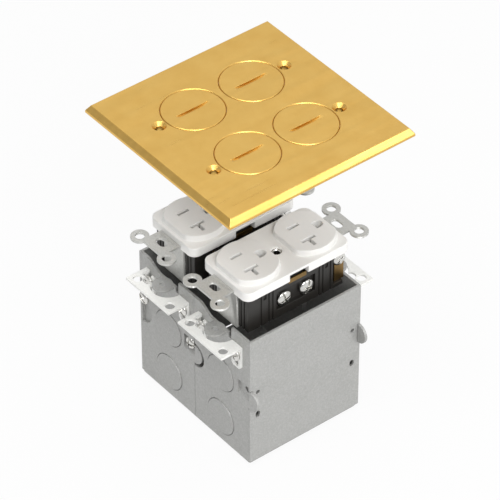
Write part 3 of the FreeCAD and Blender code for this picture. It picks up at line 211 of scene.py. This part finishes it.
# Rings of points joined one after the other, closed at both ends.
def skin(name, rings):
    count = len(rings[0])
    points = [point for ring in rings for point in ring]
    faces = [tuple(reversed(range(count))), tuple(range(len(points) - count, len(points)))]
    for level in range(len(rings) - 1):
        start = level * count
        for k in range(count):
            after = (k + 1) % count
            faces.append((start + k, start + after, start + count + after, start + count + k))
    return meshFrom(name, points, faces)


def prism(outline, low, high, name="prism"):
    return skin(name, [[(x, y, z) for x, y in outline] for z in (low, high)])


def block(x, y, z, name="block"):
    return prism([(x[0], y[0]), (x[1], y[0]), (x[1], y[1]), (x[0], y[1])], z[0], z[1], name)


def arc(centre, radius, start, end, steps):
    turns = [start + (end - start) * k / steps for k in range(steps + 1)]
    return [(centre[0] + radius * math.cos(a), centre[1] + radius * math.sin(a)) for a in turns]


def roundedOutline(x, y, radius, steps=10):
    outline = []
    quarter = math.pi / 2
    corners = ((x[1], y[0], 1, -1), (x[1], y[1], 1, 1), (x[0], y[1], -1, 1), (x[0], y[0], -1, -1))
    for k, (cx, cy, sx, sy) in enumerate(corners):
        outline += arc((cx - sx * radius, cy - sy * radius), radius, (k - 1) * quarter, k * quarter, steps)
    return outline


# Solid of revolution: the profile runs from the axis out and back to it as (radius, height).
def turned(profile, centre, axis="z", segments=64, name="turned"):
    rings = [pair for pair in profile if pair[0] > 0]
    points = []
    for radius, height in rings:
        for k in range(segments):
            angle = 2 * math.pi * k / segments
            points.append((radius * math.cos(angle), radius * math.sin(angle), height))
    faces = [tuple(reversed(range(segments)))]
    for level in range(len(rings) - 1):
        start = level * segments
        for k in range(segments):
            after = (k + 1) % segments
            faces.append((start + k, start + after, start + segments + after, start + segments + k))
    faces.append(tuple(range(len(points) - segments, len(points))))
    order = {"z": (0, 1, 2), "x": (2, 0, 1), "y": (1, 2, 0)}[axis]
    placed = [tuple(centre[i] + point[order[i]] for i in range(3)) for point in points]
    return meshFrom(name, placed, faces)


def settle(thing):
    graph = bpy.context.evaluated_depsgraph_get()
    mesh = bpy.data.meshes.new_from_object(thing.evaluated_get(graph))
    thing.modifiers.clear()
    thing.data = mesh
    return thing


def combine(base, others, operation="DIFFERENCE"):
    for other in others:
        step = base.modifiers.new("combine", "BOOLEAN")
        step.operation = operation
        step.solver = "EXACT"
        step.object = other
    settle(base)
    for other in others:
        bpy.data.objects.remove(other)
    return base


def roundEdges(thing, width, segments=2, angle=30):
    shape = bmesh.new()
    shape.from_mesh(thing.data)
    bmesh.ops.remove_doubles(shape, verts=shape.verts, dist=0.002 * mm)
    bmesh.ops.dissolve_limit(shape, angle_limit=math.radians(0.4), verts=shape.verts, edges=shape.edges)
    for face in shape.faces:
        face.smooth = True
    shape.to_mesh(thing.data)
    shape.free()
    oldNormals = thing.data.attributes.get("custom_normal")
    if oldNormals:
        thing.data.attributes.remove(oldNormals)
    bevel = thing.modifiers.new("bevel", "BEVEL")
    bevel.width = width * mm
    bevel.segments = segments
    bevel.limit_method = "ANGLE"
    bevel.angle_limit = math.radians(angle)
    # Large faces keep their own normal, so they look flat up to the rounded edge.
    weighted = thing.modifiers.new("weighted", "WEIGHTED_NORMAL")
    weighted.mode = "FACE_AREA"
    weighted.weight = 90
    return settle(thing)


# The finished piece takes a CAD node's place, body and finish.
def adopt(piece, nodeName):
    piece.name = f"{nodeName}_form"
    piece.data.materials.clear()
    piece.data.materials.append(materials[slotOf[nodeName]])
    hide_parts(nodeName)
    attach(piece, bodyOf[nodeName])
    return piece


def span(nodeName):
    low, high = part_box(nodeName)
    return [value / mm for value in low], [value / mm for value in high]


def middle(nodeName):
    low, high = span(nodeName)
    return [(a + b) / 2 for a, b in zip(low, high)]


# A CAD node's own form with its edges rounded.
def pressedPiece(nodeName, width, segments=2):
    piece = newObject(nodeName, nodes[nodeName].data.copy())
    roundEdges(piece, width, segments, 35)
    return adopt(piece, nodeName)


for nodeName, source in nodes.items():
    source.data.materials.clear()
    source.data.materials.append(materials[slotOf[nodeName]])
print("nodes dressed")


# Brass cover: bevelled slab, four bores for the discs and four countersunk screw holes.
def makeCover():
    cover = dict(
        bevel=2.4, drop=3.6, bore=17.5, lip=0.45, lipOver=0.2, hole=2.1, sink=4.0, sinkOver=0.5, pitch=46.04,
        spacing=83.34, corner=0.35, edge=0.12,
    )
    low, high = span("cover_plate")
    half = high[0]
    ledge = half - cover["bevel"]
    rings = []
    for reach, z in ((half, low[2]), (half, high[2] - cover["drop"]), (ledge, high[2])):
        rings.append([(-reach, -reach, z), (reach, -reach, z), (reach, reach, z), (-reach, reach, z)])
    plate = skin("cover", rings)
    roundEdges(plate, cover["corner"], 3)
    cutters = []
    top, below, above = high[2], low[2] - past, high[2] + past
    for spot in spots:
        x, y, _ = middle(f"disc_{spot}")
        bore, lip, over = cover["bore"], cover["lip"], cover["lipOver"]
        mouth = bore + lip + over
        profile = [(bore, below), (bore, top - lip), (mouth, top + over), (mouth, above)]
        cutters.append(turned(profile, (x, y, 0), segments=128))
    depth = cover["sink"] - cover["hole"]
    mouth = cover["sink"] + cover["sinkOver"]
    for sx in (-1, 1):
        for sy in (-1, 1):
            profile = [(cover["hole"], below), (cover["hole"], top - depth)]
            profile += [(mouth, top + cover["sinkOver"]), (mouth, above)]
            place = (sx * cover["pitch"] / 2, sy * cover["spacing"] / 2, 0)
            cutters.append(turned(profile, place, segments=48))
    combine(plate, cutters)
    roundEdges(plate, cover["edge"], 2, 32)
    return adopt(plate, "cover_plate")


# Disc with a coin slot, a shoulder for its seal and the thread's ridges round its side.
def makeDisc(spot):
    disc = dict(
        neck=1.2, shoulder=1.0, lip=0.45, ridge=0.22, ridgeStep=0.3, ridgeStart=0.05, ridgeLevels=5,
        slotLength=22.0, slotWidth=2.0, coin=40.0, edge=0.1,
    )
    low, high = span(f"disc_{spot}")
    x, y, _ = middle(f"disc_{spot}")
    radius = (high[0] - low[0]) / 2
    shoulder = low[2] + disc["shoulder"]
    profile = [(radius - disc["neck"], low[2]), (radius - disc["neck"], shoulder)]
    for step in range(disc["ridgeLevels"]):
        inset = disc["ridge"] if step % 2 == 0 else 0
        profile.append((radius - inset, shoulder + disc["ridgeStart"] + disc["ridgeStep"] * step))
    profile += [(radius, high[2] - disc["lip"]), (radius - disc["lip"], high[2])]
    body = turned(profile, (x, y, 0), segments=128)
    rise = math.sqrt(disc["coin"] ** 2 - (disc["slotLength"] / 2) ** 2)
    half = disc["slotWidth"] / 2
    cutter = turned([(disc["coin"], -half), (disc["coin"], half)], (x, y, high[2] + rise), "x", 240)
    combine(body, [cutter])
    roundEdges(body, disc["edge"], 2, 40)
    return adopt(body, f"disc_{spot}")


# Outline of one outlet: a circle between two flats, softened where they meet.
def crownOutline(centre, radius, flat, z, soft=34, steps=144):
    ring = []
    for k in range(steps):
        turn = 2 * math.pi * (k + 0.5) / steps
        side = abs(math.sin(turn)) / flat
        reach = (radius ** -soft + side ** soft) ** (-1 / soft)
        ring.append((centre[0] + reach * math.cos(turn), centre[1] + reach * math.sin(turn), z))
    return ring


# White face: a rounded base and two drafted outlets, rounded as one moulding, then cut.
def makeFace(side):
    face = dict(
        corner=5.0, base=6.0, crown=16.9, draft=0.35, flat=14.0, blade=3.1, half=6.35, ground=11.9, slot=2.0,
        hot=7.4, neutral=8.8, cross=5.0, hole=2.7, travel=7.2, gap=0.3, play=0.9, skin=4.0, bush=2.9,
        flare=1.3, sink=0.8, over=0.2, root=0.5, notchHalf=6.4, notchDepth=4.6, notchTop=4.5, strapHalf=8.6,
        strapDrop=2.6, bodyHalf=32.2, mould=0.8, edge=0.14,
    )
    low, high = span(f"face_{side}")
    cx = (low[0] + high[0]) / 2
    deck = low[2] + face["base"]
    outline = roundedOutline((low[0], high[0]), (low[1], high[1]), face["corner"], 12)
    mould = prism(outline, low[2], deck)
    outlets = [middle(f"disc_{side}_{place}")[1] for place in places]
    crowns = []
    for cy in outlets:
        foot = crownOutline((cx, cy), face["crown"] + face["draft"], face["flat"], deck - face["root"])
        top = crownOutline((cx, cy), face["crown"], face["flat"], high[2])
        crowns.append(skin("crown", [foot, top]))
    combine(mould, crowns, "UNION")
    roundEdges(mould, face["mould"], 4, 40)
    cutters = []
    below = low[2] - past
    through = (below, high[2] + past)
    for cy in outlets:
        blades = cy - face["blade"]
        half = face["slot"] / 2
        hot, neutral = cx - face["half"], cx + face["half"]
        short = (blades - face["hot"] / 2, blades + face["hot"] / 2)
        cutters.append(block((hot - half, hot + half), short, through))
        tall = (blades - face["neutral"] / 2, blades + face["neutral"] / 2)
        tee = block((neutral - half, neutral + half), tall, through)
        bar = block((neutral, neutral + half + face["cross"]), (blades - half, blades + half), through)
        cutters.append(combine(tee, [bar], "UNION"))
        groundY, hole = blades + face["ground"], face["hole"]
        arch = arc((cx, groundY), hole, 0, math.pi, 24)
        arch += [(cx - hole, groundY - hole), (cx + hole, groundY - hole)]
        cutters.append(prism(arch, *through))
        # Room of the sliding shutter, open below.
        shutLow, shutHigh = span(f"shutter_{side}_{'front' if cy < 0 else 'back'}")
        roomX = (shutLow[0] - face["travel"] - face["gap"], shutHigh[0] + face["gap"])
        roomY = (shutLow[1] - face["gap"], shutHigh[1] + face["play"])
        cutters.append(block(roomX, roomY, (below, high[2] - face["skin"])))
    for end in (-1, 1):
        # Recess over the strap's end, then the notch over the break-off link of a long side.
        strapX = (cx - face["strapHalf"], cx + face["strapHalf"])
        strapY = sorted((end * face["bodyHalf"], end * (high[1] + past)))
        cutters.append(block(strapX, strapY, (below, low[2] + face["strapDrop"])))
        reach = high[0] - cx
        notchX = sorted((cx + end * (reach - face["notchDepth"]), cx + end * (reach + past)))
        notchY = (-face["notchHalf"], face["notchHalf"])
        cutters.append(block(notchX, notchY, (below, low[2] + face["notchTop"])))
    bush, mouth = face["bush"], face["bush"] + face["flare"]
    well = [(bush, below), (bush, deck - face["sink"])]
    well += [(mouth, deck + face["over"]), (mouth, deck + past)]
    cutters.append(turned(well, (cx, 0, 0), segments=40))
    combine(mould, cutters)
    roundEdges(mould, face["edge"], 2, 42)
    return adopt(mould, f"face_{side}")


# Steel strap: two end plates with break-off rings, two legs and the floor under the body.
def makeStrap(side):
    strap = dict(
        thick=1.3, half=8.4, end=48.6, body=32.4, ring=5.2, hole=2.7, ringSide=11.8, ringEnd=47.4, slot=2.3,
        slotLength=7.6, screw=41.67, ridge=37.2, ridgeHalf=6.5, ridgeWide=0.5, ridgeRise=0.35, root=0.5,
        nub=1.5, nubRise=0.3, nubX=5.6, nubY=39.6, corner=1.2, rivetX=6.5, rivetY=29.8, rivet=1.2,
        edge=0.22, below=2.6,
    )
    low, high = span(f"strap_{side}")
    cx = (low[0] + high[0]) / 2
    top = span(f"face_{side}")[0][2] + strap["below"]
    thick, half, ring, hole = strap["thick"], strap["half"], strap["ring"], strap["hole"]
    solids, cutters = [], []
    for end in (-1, 1):
        inner, outer = strap["body"] * end, strap["end"] * end
        plate = roundedOutline((cx - half, cx + half), sorted((inner, outer)), strap["corner"], 6)
        solids.append(prism(plate, top - thick, top))
        skinY = (strap["body"] + thick) * end
        solids.append(block((cx - half, cx + half), sorted((skinY, inner)), (low[2], top - thick / 2)))
        for ear in (-1, 1):
            centre = (cx + strap["ringSide"] * ear, strap["ringEnd"] * end, 0)
            solids.append(turned([(ring, top - thick), (ring, top)], centre, segments=72))
            cutters.append(turned([(hole, top - thick - past), (hole, top + past)], centre, segments=48))
        slotHalf = strap["slotLength"] / 2 - strap["slot"]
        slotY = strap["screw"] * end
        quarter = math.pi / 2
        outline = arc((cx + slotHalf, slotY), strap["slot"], -quarter, quarter, 20)
        outline += arc((cx - slotHalf, slotY), strap["slot"], quarter, 3 * quarter, 20)
        cutters.append(prism(outline, top - thick - past, top + past))
        ridgeY = (end * strap["ridge"] - strap["ridgeWide"], end * strap["ridge"] + strap["ridgeWide"])
        ridgeX = (cx - strap["ridgeHalf"], cx + strap["ridgeHalf"])
        solids.append(block(ridgeX, ridgeY, (top - strap["root"], top + strap["ridgeRise"])))
        nub, rise = strap["nub"], strap["nubRise"]
        dome = [(nub, top - strap["root"]), (nub, top + rise / 2), (nub - rise, top + rise)]
        solids.append(turned(dome, (cx + strap["nubX"] * end, strap["nubY"] * end, 0), segments=32))
        shaft = [(strap["rivet"], low[2] - past), (strap["rivet"], low[2] + thick + past)]
        rivetSpot = (cx + strap["rivetX"] * end, -strap["rivetY"] * end, 0)
        cutters.append(turned(shaft, rivetSpot, segments=24))
    reach = strap["body"] + thick
    base = block((cx - half, cx + half), (-reach, reach), (low[2], low[2] + thick))
    combine(base, solids, "UNION")
    combine(base, cutters)
    roundEdges(base, strap["edge"], 2, 35)
    return adopt(base, f"strap_{side}")


# Boxes of a node's separate solids as (low, high).
def islands(nodeName):
    shape = bmesh.new()
    shape.from_mesh(nodes[nodeName].data)
    bmesh.ops.remove_doubles(shape, verts=shape.verts, dist=0.002 * mm)
    seen, boxes = set(), []
    for start in shape.verts:
        if start in seen:
            continue
        seen.add(start)
        queue, points = [start], []
        while queue:
            vert = queue.pop()
            points.append(vert.co / mm)
            for edge in vert.link_edges:
                other = edge.other_vert(vert)
                if other not in seen:
                    seen.add(other)
                    queue.append(other)
        lows = [min(point[i] for point in points) for i in range(3)]
        boxes.append((lows, [max(point[i] for point in points) for i in range(3)]))
    shape.free()
    return boxes


# Screw standing up at the origin: ridged shank, rimmed dome, a slot and a shorter cross recess.
def screwPattern(head, height, shank, length):
    screw = dict(
        pitch=0.8, ridge=0.22, tip=0.5, lead=0.3, foot=0.97, rim=0.12, slot=1.15, cross=0.9, slotDeep=0.62,
        crossReach=0.62, crossDeeper=0.15, edge=0.09,
    )
    # Shares of the head's radius and height, from the rim up to the middle.
    dome = ((1, 0.36), (0.97, 0.48), (0.88, 0.68), (0.7, 0.86), (0.45, 0.97), (0.2, 1))
    profile = [(shank - screw["tip"], -length)]
    turns = int(length / screw["pitch"])
    for step in range(turns * 2):
        inset = screw["ridge"] if step % 2 == 0 else 0
        profile.append((shank - inset, -length + screw["lead"] + step * screw["pitch"] / 2))
    profile += [(shank, 0), (head * screw["foot"], 0), (head, screw["rim"])]
    profile += [(head * across, height * up) for across, up in dome]
    pattern = turned(profile, (0, 0, 0), segments=40, name="screw_pattern")
    floor = height * (1 - screw["slotDeep"])
    half = screw["slot"] / 2
    slot = block((-head - past, head + past), (-half, half), (floor, height + past))
    reach, half = head * screw["crossReach"], screw["cross"] / 2
    cross = block((-half, half), (-reach, reach), (floor - screw["crossDeeper"], height + past))
    combine(pattern, [slot, cross])
    return roundEdges(pattern, screw["edge"], 2, 35)


# Tree that sets the pattern screw on every point, facing the point's own way and turned by chance.
def screwTree(material):
    tree = bpy.data.node_groups.new("set_screws", "GeometryNodeTree")
    tree.interface.new_socket("Geometry", in_out="INPUT", socket_type="NodeSocketGeometry")
    tree.interface.new_socket("Screw", in_out="INPUT", socket_type="NodeSocketObject")
    tree.interface.new_socket("Largest Turn", in_out="INPUT", socket_type="NodeSocketFloat")
    tree.interface.new_socket("Seed", in_out="INPUT", socket_type="NodeSocketInt")
    tree.interface.new_socket("Geometry", in_out="OUTPUT", socket_type="NodeSocketGeometry")
    given = addNode(tree, "NodeGroupInput").outputs
    spot = addNode(tree, "GeometryNodeMeshToPoints", {"Mesh": given["Geometry"]})
    screw = addNode(tree, "GeometryNodeObjectInfo", {"Object": given["Screw"], "As Instance": True})
    facing = addNode(tree, "GeometryNodeInputNamedAttribute", {"Name": "facing"}, data_type="FLOAT_VECTOR")
    direction = {"Vector": facing.outputs["Attribute"]}
    aligned = addNode(tree, "FunctionNodeAlignRotationToVector", direction, axis="Z")
    least = addNode(tree, "ShaderNodeMath", {0: given["Largest Turn"], 1: -1.0}, operation="MULTIPLY")
    turns = {2: least.outputs["Value"], 3: given["Largest Turn"], "Seed": given["Seed"]}
    chance = addNode(tree, "FunctionNodeRandomValue", turns, data_type="FLOAT")
    spin = addNode(tree, "FunctionNodeAxisAngleToRotation", {"Axis": (0, 0, 1), "Angle": chance.outputs[1]})
    spun = addNode(
        tree,
        "FunctionNodeRotateRotation",
        {"Rotation": aligned.outputs["Rotation"], "Rotate By": spin.outputs["Rotation"]},
        rotation_space="LOCAL",
    )
    placed = addNode(
        tree,
        "GeometryNodeInstanceOnPoints",
        {
            "Points": spot.outputs["Points"],
            "Instance": screw.outputs["Geometry"],
            "Rotation": spun.outputs["Rotation"],
        },
    )
    real = addNode(tree, "GeometryNodeRealizeInstances", {"Geometry": placed.outputs["Instances"]})
    finish = {"Geometry": real.outputs["Geometry"], "Material": material}
    dressed = addNode(tree, "GeometryNodeSetMaterial", finish)
    addNode(tree, "NodeGroupOutput", {"Geometry": dressed.outputs["Geometry"]})
    return tree


# All screws of one node, seated where the solids have them. Along x (axis 0) the hot screws face
# left and the others right, and along y (axis 1) each faces away from the node's middle.
def setScrews(nodeName, axis, height, seed, wider=0.0):
    screws = dict(shank=1.75, largestTurn=1.4)
    boxes = islands(nodeName)
    centre = middle(nodeName)
    flank = -1 if nodeName.startswith("hot_screws") else 1
    points, facings = [], []
    for first, last in boxes:
        spot = [(a + b) / 2 for a, b in zip(first, last)]
        outward = flank if axis == 0 else (1 if spot[axis] > centre[axis] else -1)
        spot[axis] = last[axis] - height if outward > 0 else first[axis] + height
        points.append(spot)
        facings.append([outward if i == axis else 0 for i in range(3)])
    first, last = boxes[0]
    head = (last[1 - axis] - first[1 - axis]) / 2 + wider
    pattern = screwPattern(head, height, screws["shank"], last[axis] - first[axis] - height)
    carrier = meshFrom(nodeName, points, [])
    facing = carrier.data.attributes.new("facing", "FLOAT_VECTOR", "POINT")
    for k, direction in enumerate(facings):
        facing.data[k].vector = direction
    step = carrier.modifiers.new("screws", "NODES")
    step.node_group = screwTree(materials[slotOf[nodeName]])
    sockets = {item.name: item.identifier for item in step.node_group.interface.items_tree}
    step[sockets["Screw"]] = pattern
    step[sockets["Largest Turn"]] = screws["largestTurn"]
    step[sockets["Seed"]] = seed
    settle(carrier)
    bpy.data.objects.remove(pattern)
    return adopt(carrier, nodeName)


# Pressure plates under the terminal screws, just smaller than the heads.
def makeClamps(side):
    clamp = dict(half=3.5, corner=1.2, hole=1.9, edge=0.12)
    plates = []
    for first, last in islands(f"wire_clamps_{side}"):
        y, z = [(first[i] + last[i]) / 2 for i in (1, 2)]
        reachY = (y - clamp["half"], y + clamp["half"])
        outline = roundedOutline(reachY, (z - clamp["half"], z + clamp["half"]), clamp["corner"], 5)
        rings = [[(x, a, b) for a, b in outline] for x in (first[0], last[0])]
        plate = skin("clamp", rings)
        through = [(clamp["hole"], -past), (clamp["hole"], last[0] - first[0] + past)]
        plates.append(combine(plate, [turned(through, (first[0], y, z), "x", 32)]))
    base = plates.pop()
    combine(base, plates, "UNION")
    roundEdges(base, clamp["edge"], 2, 35)
    return adopt(base, f"wire_clamps_{side}")


# Tubular eyelet through the middle of a socket, flared over the face.
def makeBush(side):
    bush = dict(bore=1.75, flare=0.7, wall=0.35, lip=0.1, lipDrop=0.15, over=0.1, edge=0.08)
    low, high = span(f"middle_bush_{side}")
    x, y, _ = middle(f"middle_bush_{side}")
    radius = (high[0] - low[0]) / 2
    profile = [
        (radius - bush["wall"], low[2]),
        (radius, low[2] + bush["wall"]),
        (radius, high[2] - bush["flare"]),
        (radius - bush["lip"], high[2] - bush["lipDrop"]),
        (radius - bush["wall"], high[2]),
    ]
    tube = turned(profile, (x, y, 0), segments=48)
    bore, mouth = bush["bore"], bush["bore"] + bush["flare"]
    through = [(bore, low[2] - past), (bore, high[2] - bush["flare"])]
    through += [(mouth, high[2] + bush["over"]), (mouth, high[2] + past)]
    combine(tube, [turned(through, (x, y, 0), segments=48)])
    roundEdges(tube, bush["edge"], 2, 35)
    return adopt(tube, f"middle_bush_{side}")


makeCover()
for spot in spots:
    makeDisc(spot)
print("cover done")
heads = dict(terminal=2.2, wider=0.6, ear=2.07, joining=2.5, sidePlate=2.1)
rounding = dict(body=0.18, ground=0.12, contact=0.08, gang=0.16, sidePlate=0.2, ear=0.2)
for side in sides:
    makeFace(side)
    makeStrap(side)
    makeBush(side)
    makeClamps(side)
    for kind in ("hot", "neutral"):
        setScrews(f"{kind}_screws_{side}", 0, heads["terminal"], 4 + len(kind), heads["wider"])
    setScrews(f"ground_screw_{side}", 0, heads["terminal"], 7)
    pressedPiece(f"body_{side}", rounding["body"])
    pressedPiece(f"ground_contacts_{side}", rounding["ground"])
    for kind in ("hot", "neutral"):
        pressedPiece(f"{kind}_contacts_{side}", rounding["contact"])
print("sockets formed")
setScrews("ear_screws", 1, heads["ear"], 3)
setScrews("joining_screws", 1, heads["joining"], 5)
setScrews("side_plate_screws", 1, heads["sidePlate"], 8)
for side in sides:
    pressedPiece(f"box_gang_{side}", rounding["gang"])
    pressedPiece(f"side_plate_{side}", rounding["sidePlate"])
    for place in places:
        pressedPiece(f"ear_{side}_{place}", rounding["ear"])
print("box formed")


# The camera, polished metal and glass see a share of plain white in place of the lit surface.
def seenWhite(tree, surface, share):
    path = addNode(tree, "ShaderNodeLightPath").outputs
    white = addNode(tree, "ShaderNodeEmission", {"Color": (1, 1, 1, 1), "Strength": 1.0})
    straight = {0: path["Is Camera Ray"], 1: path["Is Glossy Ray"]}
    seen = addNode(tree, "ShaderNodeMath", straight, operation="ADD")
    through = {0: seen.outputs["Value"], 1: path["Is Transmission Ray"]}
    seen = addNode(tree, "ShaderNodeMath", through, operation="ADD", use_clamp=True)
    part = addNode(tree, "ShaderNodeMath", {0: seen.outputs["Value"], 1: share}, operation="MULTIPLY")
    faces = {0: part.outputs["Value"], 1: surface, 2: white.outputs["Emission"]}
    return addNode(tree, "ShaderNodeMixShader", faces)


# Painted board, matt: plain and pale, with only the object's own soft shadow on it.
def makeFloor():
    # Its level is just under the box, so that the two flat faces never meet.
    ground = dict(reach=6000, level=-0.3, colour="D4D4D4", roughness=0.9, share=0.92)
    reach, level = ground["reach"], ground["level"]
    corners = [(-reach, -reach, level), (reach, -reach, level), (reach, reach, level), (-reach, reach, level)]
    floor = meshFrom("floor", corners, [(0, 1, 2, 3)])
    material, tree, shader, _ = startMaterial("painted_board")
    shader.inputs["Base Color"].default_value = srgb(ground["colour"])
    shader.inputs["Roughness"].default_value = ground["roughness"]
    shader.inputs["Specular IOR Level"].default_value = 0.0
    output = [node for node in tree.nodes if node.type == "OUTPUT_MATERIAL"][0]
    mixed = seenWhite(tree, shader.outputs["BSDF"], ground["share"])
    tree.links.new(mixed.outputs["Shader"], output.inputs["Surface"])
    floor.data.materials.append(material)


# Studio sky, bright behind the object and dimmer in front of its left wall.
def makeWorld():
    sky = dict(dark="5C5C5C", bright="FFFFFF", fromY=-1.0, toY=0.1, strength=0.72, share=0.35)
    world = bpy.data.worlds.new("studio")
    bpy.context.scene.world = world
    world.use_nodes = True
    tree = world.node_tree
    tree.nodes.clear()
    coords = addNode(tree, "ShaderNodeTexCoord")
    split = addNode(tree, "ShaderNodeSeparateXYZ", {"Vector": coords.outputs["Generated"]})
    spread = {"Value": split.outputs["Y"], "From Min": sky["fromY"], "From Max": sky["toY"]}
    share = addNode(tree, "ShaderNodeMapRange", spread).outputs["Result"]
    shades = {0: share, 6: srgb(sky["dark"]), 7: srgb(sky["bright"])}
    colour = addNode(tree, "ShaderNodeMix", shades, data_type="RGBA").outputs[2]
    back = addNode(tree, "ShaderNodeBackground", {"Color": colour, "Strength": sky["strength"]})
    mixed = seenWhite(tree, back.outputs["Background"], sky["share"])
    addNode(tree, "ShaderNodeOutputWorld", {"Surface": mixed.outputs["Shader"]})


def addLight(name, place, target, size, power):
    light = bpy.data.lights.new(name, "AREA")
    light.size = size
    light.energy = power
    lamp = bpy.data.objects.new(name, light)
    bpy.context.collection.objects.link(lamp)
    lamp.location = place
    lamp.rotation_euler = (Vector(target) - Vector(place)).to_track_quat("-Z", "Y").to_euler()


# The photo's angle: 52 degrees round from the box's front, 40 degrees up, 2 metres away.
def addCamera():
    view = dict(place=(1.1529, -0.9141, 1.3569), towards=(-0.5960, 0.4727, -0.6491), lens=258.9, sensor=36)
    data = bpy.data.cameras.new("camera")
    data.sensor_width = view["sensor"]
    data.lens = view["lens"]
    data.clip_start = 0.05
    data.clip_end = 50
    camera = bpy.data.objects.new("camera", data)
    bpy.context.collection.objects.link(camera)
    camera.location = view["place"]
    camera.rotation_euler = Vector(view["towards"]).to_track_quat("-Z", "Y").to_euler()
    bpy.context.scene.camera = camera


# Soft square lamps, in metres and watts.
lamps = dict(
    key=dict(place=(1.4, -0.6, 1.4), target=(0, 0, 0.08), size=0.9, power=21),
    side=dict(place=(1.25, 0.72, 0.62), target=(0, 0, 0.15), size=0.55, power=3),
    front=dict(place=(0.1, -0.72, 1.85), target=(0, 0, 0.1), size=0.9, power=14),
    top=dict(place=(-0.35, 0.35, 1.7), target=(0, 0, 0.1), size=0.9, power=3),
)
makeFloor()
makeWorld()
for name, lamp in lamps.items():
    addLight(name, **lamp)
addCamera()
bpy.context.scene.view_settings.view_transform = "Standard"
print("stage done")
